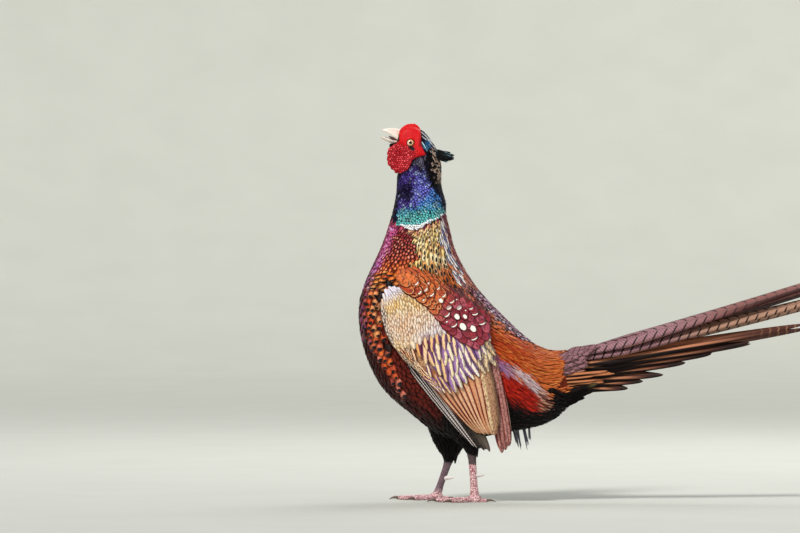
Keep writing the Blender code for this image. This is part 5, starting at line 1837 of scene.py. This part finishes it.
def make_bill(material):
    bill_piece("bill_horn_upper", UPPER_BILL_ROOT, UPPER_BILL, material, "bill_upper")
    bill_piece("bill_horn_lower", LOWER_BILL_ROOT, LOWER_BILL, material, "bill_lower")
    f = Finish("tongue")
    colour = f.mix(f.noise(800, 2.0, 0.5), (110, 40, 44), (60, 16, 22))
    wet = f.close(colour, 0.4, f.bump(f.cells(2600), 0.4, 0.0002))
    rings = []
    floor_x = [row[0] for row in LOWER_BILL][::-1]
    floor_z = [row[1] for row in LOWER_BILL][::-1]
    curve = Spline(np.linspace(0, 1, len(TONGUE)), TONGUE)
    for t in np.linspace(0, 1, 14):
        x, half = curve(t)[0]
        z = float(np.interp(x, floor_x, floor_z)) + 0.0002
        ring = []
        for k in range(16):
            turn = math.tau * k / 16
            c, n = math.cos(turn), math.sin(turn)
            ring.append(Vector((x, -n * half, z + (0.0008 * c if c > 0 else 0.0))))
        rings.append(ring)
    piece_of("tongue_flesh", loft(rings), wet, ("tongue",), "mouth")
    mouth_lining(wet)


def tuft_finish():
    f, _, y, _, _, chance = base_vane("ear tuft plumage")
    colour = f.mix(chance.step(0.7, 0.95), (6, 8, 10), (20, 52, 62))
    colour.lay(y.step(0.3, 0.8) * chance.step(0.75, 1), (110, 150, 160))
    return f.plume(colour, 0.5, 16, 0.3, 0.5, 0.35, metallic=0.1)


def plume_roots(
    places, aside, bearing, length, width, draw, face_out=None, curve=0.0, tilt=0.0, spread_out=0.0
):
    """Loose feathers from grid places and distances to the side, their bearing measured under the level."""
    places, aside = np.asarray(places, float), np.asarray(aside, float)
    count = len(places)
    x, z = from_grid(places[:, 0], places[:, 1])
    root = columns(x, aside, z)
    bearing = np.broadcast_to(bearing, count)
    outward = np.sign(aside) if face_out is None else np.broadcast_to(face_out, count)
    way = columns(np.cos(bearing), outward * spread_out, -np.sin(bearing))
    rise = columns(0 * x, outward, draw.uniform(0.1, 0.5, count))
    lift = columns(np.full(count, tilt), draw.uniform(-0.3, 0.3, count) * 0.002, np.full(count, -0.0004))
    bend = columns(0 * x, 0 * x, np.broadcast_to(curve, count))
    place = columns(places, draw.uniform(0, 1, count))
    home = columns(draw.uniform(0.05, 0.95, (count, 2)), 0 * x)
    return roots_of(root, way, rise, length, width, lift, place, home, bend=bend)


def tuft_roots(side, seed):
    """Ear tuft: a compact brush of narrow plumes on the rear of the crown."""
    draw = np.random.default_rng(seed)
    count = 120
    fan = draw.normal(0, 0.07, count)
    across = np.clip(draw.normal(0, 1.7, count), -3.2, 3.2)
    column = draw.uniform(435, 440, count) - across * 0.35
    places = columns(column, 153.2 + across + draw.uniform(-0.4, 0.4, count))
    aside = side * (0.0085 + draw.normal(0, 0.0012, count))
    length = draw.uniform(0.0150, 0.0215, count) * (1 - 0.045 * across ** 2)
    bearing = 0.42 + fan + across * 0.03
    return plume_roots(places, aside, bearing, length, 0.0024, draw, curve=0.0008, spread_out=0.14)


def chin_roots(side, seed):
    draw = np.random.default_rng(seed)
    count = 60
    places = columns(draw.uniform(393, 398.5, count), draw.uniform(142.6, 147.5, count))
    aside = side * draw.uniform(0.0005, 0.0070, count)
    bearing = math.pi - 0.45 + draw.normal(0, 0.2, count)
    return plume_roots(places, aside, bearing, 0.0055, 0.0018, draw, side)


WISPS = ((509, 517, 445, -0.012), (514, 521, 447, -0.006), (520, 527, 446, 0.002), (528, 530, 440, 0.010))


def wisp_roots(seed):
    """Four loose grey-black plumes under the vent, each of a few vanes."""
    draw = np.random.default_rng(seed)
    places, aside, bearing, length = [], [], [], []
    for column, tip_column, tip_row, y in WISPS:
        for _ in range(5):
            start = (column + draw.normal(0, 0.8), 412 + draw.normal(0, 1.0))
            end = (tip_column + draw.normal(0, 0.9), tip_row + draw.normal(0, 2.0))
            places.append(start)
            aside.append(y + draw.normal(0, 0.0012))
            bearing.append(math.atan2(end[1] - start[1], end[0] - start[0]))
            length.append(math.hypot(end[1] - start[1], end[0] - start[0]) * GRID)
    return plume_roots(places, aside, np.array(bearing), np.array(length), 0.0024, draw, -1.0)


def under_tail_roots(seed):
    """Black coverts from the vent out under the tail."""
    draw = np.random.default_rng(seed)
    rows = []
    for lane in np.linspace(-1, 1, 11):
        for column in np.linspace(520, 578, 18):
            low = np.interp(column, [520, 545, 560, 578], [410, 408, 402.5, 395])
            column_at, row_at = column + draw.uniform(-2, 2), low - 6 * lane ** 2 + draw.uniform(-2, 1)
            rows.append((column_at, row_at, lane * 0.024))
    rows = np.array(rows)
    bearing = np.interp(rows[:, 0], [520, 545, 575], [0.05, -0.22, -0.30]) + draw.normal(0, 0.08, len(rows))
    room = np.interp(rows[:, 1], [386, 392, 398, 408, 420], [602, 599, 588, 574, 562]) - rows[:, 0]
    length = np.clip(room, 10, 26) * draw.uniform(0.80, 1.0, len(rows)) * GRID
    made = plume_roots(rows[:, 0:2], rows[:, 2], bearing, length, 0.0085, draw, tilt=0.0005)
    tips = rows[:, 0] + length / GRID * 0.75
    made["place"][:, 0] = tips
    made["place"][:, 1] = rows[:, 1] + np.tan(bearing) * (tips - rows[:, 0])
    return made


COVERT_STANDS = ((350, 0.0090), (355, 0.0150), (362, 0.0205), (371, 0.0235), (380, 0.0240), (388, 0.0225))


def tail_covert_roots(side, seed):
    """Mauve barred coverts over the root of the tail, and narrow striped ones below them."""
    draw = np.random.default_rng(seed)
    rows = []
    for tier, (step, reach) in enumerate(((-9, 22), (-3, 27))):
        for row in np.concatenate([np.linspace(352.5, 372, 8), np.linspace(374.5, 388, 6)]):
            low = float(row > 373)
            column_at = float(line(COAT_END, row)) + step + draw.uniform(-1.5, 1.5)
            row_at = row + draw.uniform(-1, 1) - step * 0.10 * (1 - low)
            rows.append((column_at, row_at, reach + low * (30 - (row - 374) * 1.2), tier, low))
    rows = np.array(rows)
    bearing = np.interp(rows[:, 1], [352, 375, 388], [-0.26, -0.09, -0.03])
    bearing += draw.normal(0, 0.025, len(rows))
    stand = line(COVERT_STANDS, rows[:, 1])
    aside = side * (stand - 0.0007 * rows[:, 3])
    length = rows[:, 2] * GRID * draw.uniform(0.90, 1.05, len(rows))
    return plume_roots(rows[:, 0:2], aside, bearing, length, 0.0115 - 0.0050 * rows[:, 4], draw, side)


def thigh_roots(label, seed):
    draw = np.random.default_rng(seed)
    top, ankle = np.array(THIGH_TOPS[label]), np.array(ANKLES[label])
    shape = np.array(THIGH_SHAPE)
    rows = []
    for n, t in enumerate(np.linspace(0.02, 0.90, 17)):
        half_x, half_y = (np.interp(t, shape[:, 0], shape[:, k]) for k in (1, 2))
        around = int(math.pi * (half_x + half_y) / 0.0050)
        turn = (np.arange(around) + 0.5 * (n % 2) + draw.uniform(-0.2, 0.2, around)) * math.tau / around
        middle = top + (ankle - top) * t
        out = columns(np.cos(turn) * half_y, np.sin(turn) * half_x, 0 * turn)
        out = unit(out)
        at = middle + columns(half_x * np.cos(turn), half_y * np.sin(turn), 0 * turn)
        later = min(t + 0.18, 1.0)
        lx, ly = (np.interp(later, shape[:, 0], shape[:, k]) for k in (1, 2))
        tip = top + (ankle - top) * (t + 0.18) + columns(lx * np.cos(turn), ly * np.sin(turn), 0 * turn)
        rows.append(columns(at - out * 0.0012, tip - at, out, np.full(around, t), turn))
    rows = np.concatenate(rows)
    count = len(rows)
    length = draw.uniform(0.010, 0.016, count)
    lift = columns(np.full(count, 0.0024), np.zeros(count), np.full(count, -0.0006))
    column, row = to_grid(rows[:, 0:3])
    place = columns(column, row, draw.uniform(0, 1, count))
    home = columns(0.02 + 0.96 * (rows[:, 10] % math.tau) / math.tau, 0.02 + 0.96 * rows[:, 9], 0 * length)
    return roots_of(rows[:, 0:3], rows[:, 3:6], rows[:, 6:9], length, 0.0052, lift, place, home)


def wing_shield(label, side, material):
    """The covered arm of the wing."""
    rings = []
    for share, drop in ((1.0, 0.010), (0.97, 0.0045), (0.90, 0.0030), (0.75, 0.0022), (0.5, 0.0018),
            (0.2, 0.0018)):
        turn = np.arange(60) * math.tau / 60
        l = 0.066 + 0.066 * share * np.cos(turn)
        w = 0.016 + 0.044 * share * np.sin(turn)
        x = WING_BEND[0] + l * WING_AXIS[0] - w * WING_AXIS[1]
        z = WING_BEND[1] + l * WING_AXIS[1] + w * WING_AXIS[0]
        y = wing_stand(l, w) - drop
        rings.append([Vector((a, side * b, c)) for a, b, c in zip(x, y, z)])
    low = [Vector((p.x, p.y - side * 0.014, p.z)) for p in rings[0]]
    return piece_of(f"wing_arm_{label}", loft([low] + rings), material, (f"wing_{label}",), "wing")


TOES = (
    ("inner", -34.0, 0.0340, 0.0030),
    ("middle", 2.0, 0.0480, 0.0033),
    ("outer", 36.0, 0.0370, 0.0030),
    ("hind", 172.0, 0.0150, 0.0026),
)
SHANK_RADIUS = 0.0046
SHANK_SHAPE = (
    (0.0, 1.12), (0.10, 1.18), (0.22, 0.95), (0.50, 0.86), (0.78, 0.88), (0.92, 1.10), (1.0, 1.05),
)
CLAW_LENGTH = 0.0110
SPUR_LENGTH = 0.0125


def leg_finish():
    f = Finish("leg scales")
    _, y, z = f.parts(f.spot())
    plates = f.cells(430, "DISTANCE_TO_EDGE")
    ground = f.mix(f.noise(260).step(0.35, 0.65), (252, 222, 220), (222, 168, 172))
    colour = f.mix(plates.step(0.17, 0.05), ground, (140, 72, 82))
    # Dark grey-brown above the scales: partly painted shadow under the body and wing, partly the leg's
    # darker top.
    colour.lay(z.step(0.0455, 0.048), f.mix(plates.step(0.17, 0.05), (84, 66, 64), (58, 42, 42)))
    # Painted shade: the far leg darkened to violet-grey.
    colour.lay(y.step(0, 0.01) * z.step(0.006, 0.016) * 0.8, (58, 48, 66))
    return f.close(colour, 0.5, f.bump(plates.step(0, 0.16), 0.5, 0.0004))


def claw_finish():
    f = Finish("claw horn")
    grain = f.noise(900, 2, 0.5)
    return f.close(f.mix(grain, (70, 54, 48), (120, 98, 86)), 0.35, f.bump(grain, 0.2, 0.0002))


def spur_finish():
    f = Finish("spur horn")
    grain = f.noise(700, 2, 0.5)
    return f.close(f.mix(grain, (246, 240, 238), (214, 198, 194)), 0.35, f.bump(grain, 0.2, 0.0002))


def make_leg(label, side, scales, horn, spur):
    ankle, foot = Vector(ANKLES[label]), Vector(FEET[label])
    bm = bmesh.new()
    rings = []
    shape = np.array(SHANK_SHAPE)
    for t in np.linspace(-0.08, 1.0, 90):
        r = SHANK_RADIUS * np.interp(t, shape[:, 0], shape[:, 1])
        middle = ankle.lerp(foot, t)
        ring = []
        for k in range(28):
            turn = math.tau * k / 28
            front = max(0.0, -math.cos(turn))
            scute = 1 + 0.05 * front * ((t * 17) % 1.0)
            ring.append(middle + Vector((r * 1.12 * scute * math.cos(turn),
                r * 0.88 * scute * math.sin(turn), 0)))
        rings.append(ring)
    add_loft(bm, rings)
    pad = Vector((foot.x, foot.y, 0.0035))
    add_tube(bm, [pad + Vector((d, 0, 0)) for d in (0.008, 0.004, 0, -0.004, -0.008)],
             [0.0032, 0.0054, 0.0062, 0.0056, 0.0040], 20, 0.0)
    for toe, bearing, length, radius in TOES:
        turn = math.radians(bearing)
        way = Vector((-math.cos(turn), math.sin(turn) * side, 0))
        lift = radius * 0.86
        raised = 0.0075 if toe == "hind" else 0.0042
        path, radii = [], []
        for u in np.linspace(0, 1, 64):
            height = max(lift, raised * (1 - u / 0.35) + lift * (u / 0.35)) if u < 0.35 else lift
            knuckle = 1.02 + 0.09 * math.cos(u * math.tau * 2.5)
            scute = 1 + 0.05 * ((u * length / 0.0024) % 1.0)
            at = pad + way * (length * u)
            path.append(Vector((at.x, at.y, height)))
            radii.append(radius * knuckle * scute * (1.12 + (0.78 - 1.12) * u))
        add_tube(bm, path, radii, 16, 0.0)
        end = path[-1]
        down = np.linspace(-0.06, 1, 12)
        claw = [end + way * (0.0003 + CLAW_LENGTH * u) for u in down]
        rise = np.interp(down, [0, 0.35, 0.7, 1.0], [0, 0.0006, -0.0002, -lift + 0.0007])
        claw = [p + Vector((0, 0, float(r))) for p, r in zip(claw, rise)]
        sizes = np.interp(down, [0, 0.35, 0.7, 1.0], [0.62, 0.52, 0.34, 0.12]) * radius
        tip = bmesh.new()
        add_tube(tip, claw, list(sizes), 14, 0.0)
        piece_of(f"claw_horn_{toe}_{label}", tip, horn, (f"claw_{toe}_{label}",), "claw")
    piece_of(f"foot_scales_{label}", bm, scales, (f"shank_{label}",), "leg")
    tibia = ankle.lerp(foot, 0.54)
    rearward = Vector((0.96, -0.22 * side, -0.03)).normalized()
    tip = bmesh.new()
    u = np.linspace(-0.1, 1, 14)
    path = [tibia + rearward * (0.0035 + SPUR_LENGTH * 0.9 * a)
        + Vector((0, 0, 0.0008 * max(a, 0) ** 2)) for a in u]
    add_tube(tip, path, list(0.0029 * (1 - np.clip(u, 0, 1)) ** 0.7 + 0.0002), 16)
    piece_of(f"spur_horn_{label}", tip, spur, (f"spur_{label}",), "spur")


# Feathers on the bird

def make_plumage():
    made = set_out_body()
    plans = {
        "neck": (neck_finish(), 6, 4, 2.0, 0.45, 0.45, 0.00022, "neck"),
        "crown": (crown_finish(), 6, 4, 1.6, 0.35, 0.40, 0.0002, "neck"),
        "ring": (ring_finish(), 6, 4, 2.0, 0.45, 0.45, 0.0002, "neck"),
        "chest": (chest_finish(), 7, 4, 2.2, 0.55, 0.40, 0.00028, "breast"),
        "bars": (bars_finish(), 7, 4, 2.2, 0.55, 0.40, 0.0003, "breast"),
        "mantle": (mantle_finish(), 8, 4, 1.5, 0.45, 0.45, 0.0003, "breast"),
        "streaks": (streaks_finish(), 8, 4, 1.4, 0.50, 0.35, 0.0003, "breast"),
        "flank": (flank_finish(), 8, 4, 2.4, 0.60, 0.40, 0.0003, "breast"),
        "belly": (belly_finish(), 6, 4, 1.8, 0.50, 0.40, 0.0003, "breast"),
        "back": (back_finish(), 8, 4, 2.0, 0.50, 0.40, 0.0003, "breast"),
        "rump": (rump_finish(), 7, 4, 1.2, 0.35, 0.30, 0.0003, "breast"),
        "vent": (vent_finish(), 7, 4, 1.3, 0.35, 0.30, 0.0003, "breast"),
    }
    for tract, (material, *shape, slot) in plans.items():
        tree = Vanes(f"{tract} vanes", material, *shape)
        dress(tree.grow(f"plumage_{tract}", made[tract]), (), slot)


def make_wings(arm):
    coverts = Vanes("covert vanes", covert_finish(), 6, 4, 1.8, 0.45, 0.90, 0.00026)
    lances = Vanes("lance vanes", lance_finish(), 10, 4, 1.5, 0.45, 0.40, 0.00028)
    scapulars = Vanes("scapular vanes", scapular_finish(), 9, 6, 1.8, 0.55, 0.40, 0.0003)
    flight = {
        "primaries": Vanes("primary vanes", primary_finish(), 22, 6, 3.0, 0.30, 0.35, 0.0007),
        "secondaries": Vanes("secondary vanes", quill_finish(), 22, 6, 2.4, 0.45, 0.35, 0.0006),
        "tertials": Vanes("tertial vanes", tertial_finish(), 22, 6, 4.0, 0.60, 0.35, 0.0007),
        "alula": Vanes("alula vanes", alula_finish(), 14, 6, 2.4, 0.40, 0.35, 0.0006),
    }
    for label, side in SIDES:
        wing_shield(label, side, arm)
        c, r, theta, long, wide, _, draw = set_out_wing(WING_OUTLINE, covert_paces, covert_angle,
            31 + int(side))
        free = ~inside(SCAPULAR_OUTLINE, c + 2.0, r - 4.0)
        far = (r > line(STREAK_ROW, c) + 3) | (c > 481)
        length = long * GRID * np.interp(long, [4.5, 13], [2.5, 1.8]) * draw.uniform(0.85, 1.15, len(c))
        width = wide * GRID * np.where(far, 1.45, 1.75)
        for name, pick, tree in (("coverts", free & ~far, coverts), ("lances", free & far, lances)):
            angle = theta[pick] + draw.normal(0, 0.15 if name == "lances" else 0.07, pick.sum())
            roots = wing_roots(c[pick], r[pick], angle, length[pick], width[pick], 0.0004, 0.0012, side,
                draw)
            dress(tree.grow(f"wing_{name}_{label}", roots), (), "wing")
        c, r, theta, long, wide, kept, draw = set_out_wing(
            SCAPULAR_OUTLINE, scapular_paces, scapular_angle, 41 + int(side), SPOTS)
        spots = np.array(SPOTS)
        gloom = scapular_gloom(c, r)
        mark = columns(np.where(draw.uniform(0, 1, len(c)) > 0.75, 0.5, -2.0), 0 * c, gloom)
        shown = kept < len(spots)
        mark[shown, 0:2] = spots[kept[shown], 2:4]
        mark[gloom > 0.5, 0] = 0.5
        inset = np.clip((r - line(SCAPULAR_TOP, c)) / 12, 0, 1)
        shrink = (0.72 + 0.28 * inset) * (1 - 0.30 * gloom)
        angle, height = theta + draw.normal(0, 0.08, len(c)), 0.0026 * inset - 0.0006 + 0.0004 * shown
        length, width = 18.5 * GRID * shrink, 11.2 * GRID * shrink
        roots = wing_roots(c, r, angle, length, width, height, 0.0012, side, draw, mark=mark)
        dress(scapulars.grow(f"scapulars_{label}", roots), (), "wing")
        for tier, tree in flight.items():
            roots = flight_roots(tier, side, np.random.default_rng(51 + int(side)))
            dress(tree.grow(f"{tier}_{label}", roots), (), "wing")


def make_tail():
    tree = Vanes("tail vanes", tail_finish(), 60, 6, 0.95, 0.16, 0.30, 0.0007)
    tail = tree.grow("tail_feathers", tail_roots())
    dress(tail, ("tail",), "tail")
    coverts = Vanes("tail covert vanes", tail_covert_finish(), 12, 4, 1.6, 0.35, 0.35, 0.0004)
    for label, side in SIDES:
        dress(coverts.grow(f"tail_coverts_{label}", tail_covert_roots(side, 71)), (), "tail")


def make_small_plumes():
    tuft = Vanes("tuft vanes", tuft_finish(), 6, 4, 1.6, 0.4, 0.4, 0.0003)
    wisp = Vanes("wisp vanes", wisp_finish(), 8, 4, 1.2, 0.3, 0.4, 0.0003)
    dark = Vanes("vent covert vanes", vent_finish("vent covert plumage"), 7, 4, 1.5, 0.4, 0.4, 0.0004)
    dress(wisp.grow("vent_wisps", wisp_roots(61)), (), "breast")
    dress(dark.grow("under_tail_coverts", under_tail_roots(63)), (), "breast")
    for label, side in SIDES:
        dress(tuft.grow(f"ear_plumes_{label}", tuft_roots(side, 62)), (f"ear_tuft_{label}",), "tuft")
        dress(dark.grow(f"chin_plumes_{label}", chin_roots(side, 66)), (), "neck")
        dress(dark.grow(f"thigh_plumes_{label}", thigh_roots(label, 64)), (), "thigh")


# Floor, light and camera

def make_stage():
    """A wide pale floor that rises all round, far from the bird."""
    f = Finish("pale floor")
    pale = f.mix(f.noise(6, 2.0, 0.5), (198, 199, 192), (190, 191, 184))
    material = f.close(pale, 0.9, Specular_IOR_Level=0.1)
    radius, wall, bend = 10.0, 6.0, 3.0
    profile = [(0.5, 0.0), (4.0, 0.0), (radius - bend, 0.0)]
    for k in range(1, 13):
        a = math.pi / 2 * k / 12
        profile.append((radius - bend + bend * math.sin(a), bend - bend * math.cos(a)))
    profile.append((radius, wall))
    turns = np.arange(FLOOR_SIDES) * math.tau / FLOOR_SIDES
    bm = bmesh.new()
    rows = [[bm.verts.new((r * math.cos(a), r * math.sin(a), z)) for a in turns] for r, z in profile]
    bm.faces.new(rows[0])
    for low, high in zip(rows, rows[1:]):
        for i in range(FLOOR_SIDES):
            j = (i + 1) % FLOOR_SIDES
            bm.faces.new((low[i], high[i], high[j], low[j]))
    mesh = bpy.data.meshes.new("floor")
    bm.to_mesh(mesh)
    bm.free()
    floor = linked("floor", mesh)
    mesh.materials.append(material)
    mesh.shade_smooth()


def lamp(name, place, aim, size, power, colour=(1.0, 1.0, 1.0)):
    light = bpy.data.lights.new(name, "AREA")
    light.size = size
    light.energy = power
    light.color = colour
    piece = linked(name, light)
    piece.location = place
    piece.rotation_euler = (Vector(aim) - Vector(place)).to_track_quat("-Z", "Y").to_euler()


def make_light_and_camera():
    aim = (-0.08, 0.0, 0.25)
    sun = bpy.data.lights.new("key", "SUN")
    sun.energy = 2.9
    sun.angle = math.radians(14)
    sun.color = (1.0, 0.98, 0.94)
    key = linked("key", sun)
    key.rotation_euler = Vector((0.50, 0.70, -0.80)).to_track_quat("-Z", "Y").to_euler()
    lamp("fill", (2.4, -2.6, 1.2), aim, 2.4, 26, (0.94, 0.97, 1.0))
    lamp("back", (0.6, 1.9, 2.4), aim, 1.6, 40)
    world = bpy.data.worlds.new("soft light")
    world.use_nodes = True
    world.node_tree.nodes["Background"].inputs["Color"].default_value = (0.86, 0.90, 0.94, 1.0)
    world.node_tree.nodes["Background"].inputs["Strength"].default_value = 0.42
    bpy.context.scene.world = world
    camera = bpy.data.cameras.new("camera")
    distance = 7.0
    camera.sensor_width = 36.0
    camera.lens = 36.0 * distance / 1.0
    camera.clip_end = 60.0
    piece = linked("camera", camera)
    middle_x = (400.0 - COLUMN_0) * GRID - MIDDLE_X
    middle_z = (ROW_0 - 266.5) * GRID
    piece.location = (middle_x, -distance, middle_z)
    piece.rotation_euler = (math.radians(90), 0, 0)
    bpy.context.scene.camera = piece
    bpy.context.scene.view_settings.view_transform = "Standard"


under_coat = skin_finish()
make_skin(under_coat)
red = face_finish()
gaze = eye_finish()
for label, side in SIDES:
    make_face(label, side, red)
    make_eye(label, side, gaze)
make_bill(bill_finish())
scales, horn, spur = leg_finish(), claw_finish(), spur_finish()
for label, side in SIDES:
    make_leg(label, side, scales, horn, spur)
make_plumage()
make_wings(arm_finish())
make_tail()
make_small_plumes()
make_stage()
make_light_and_camera()
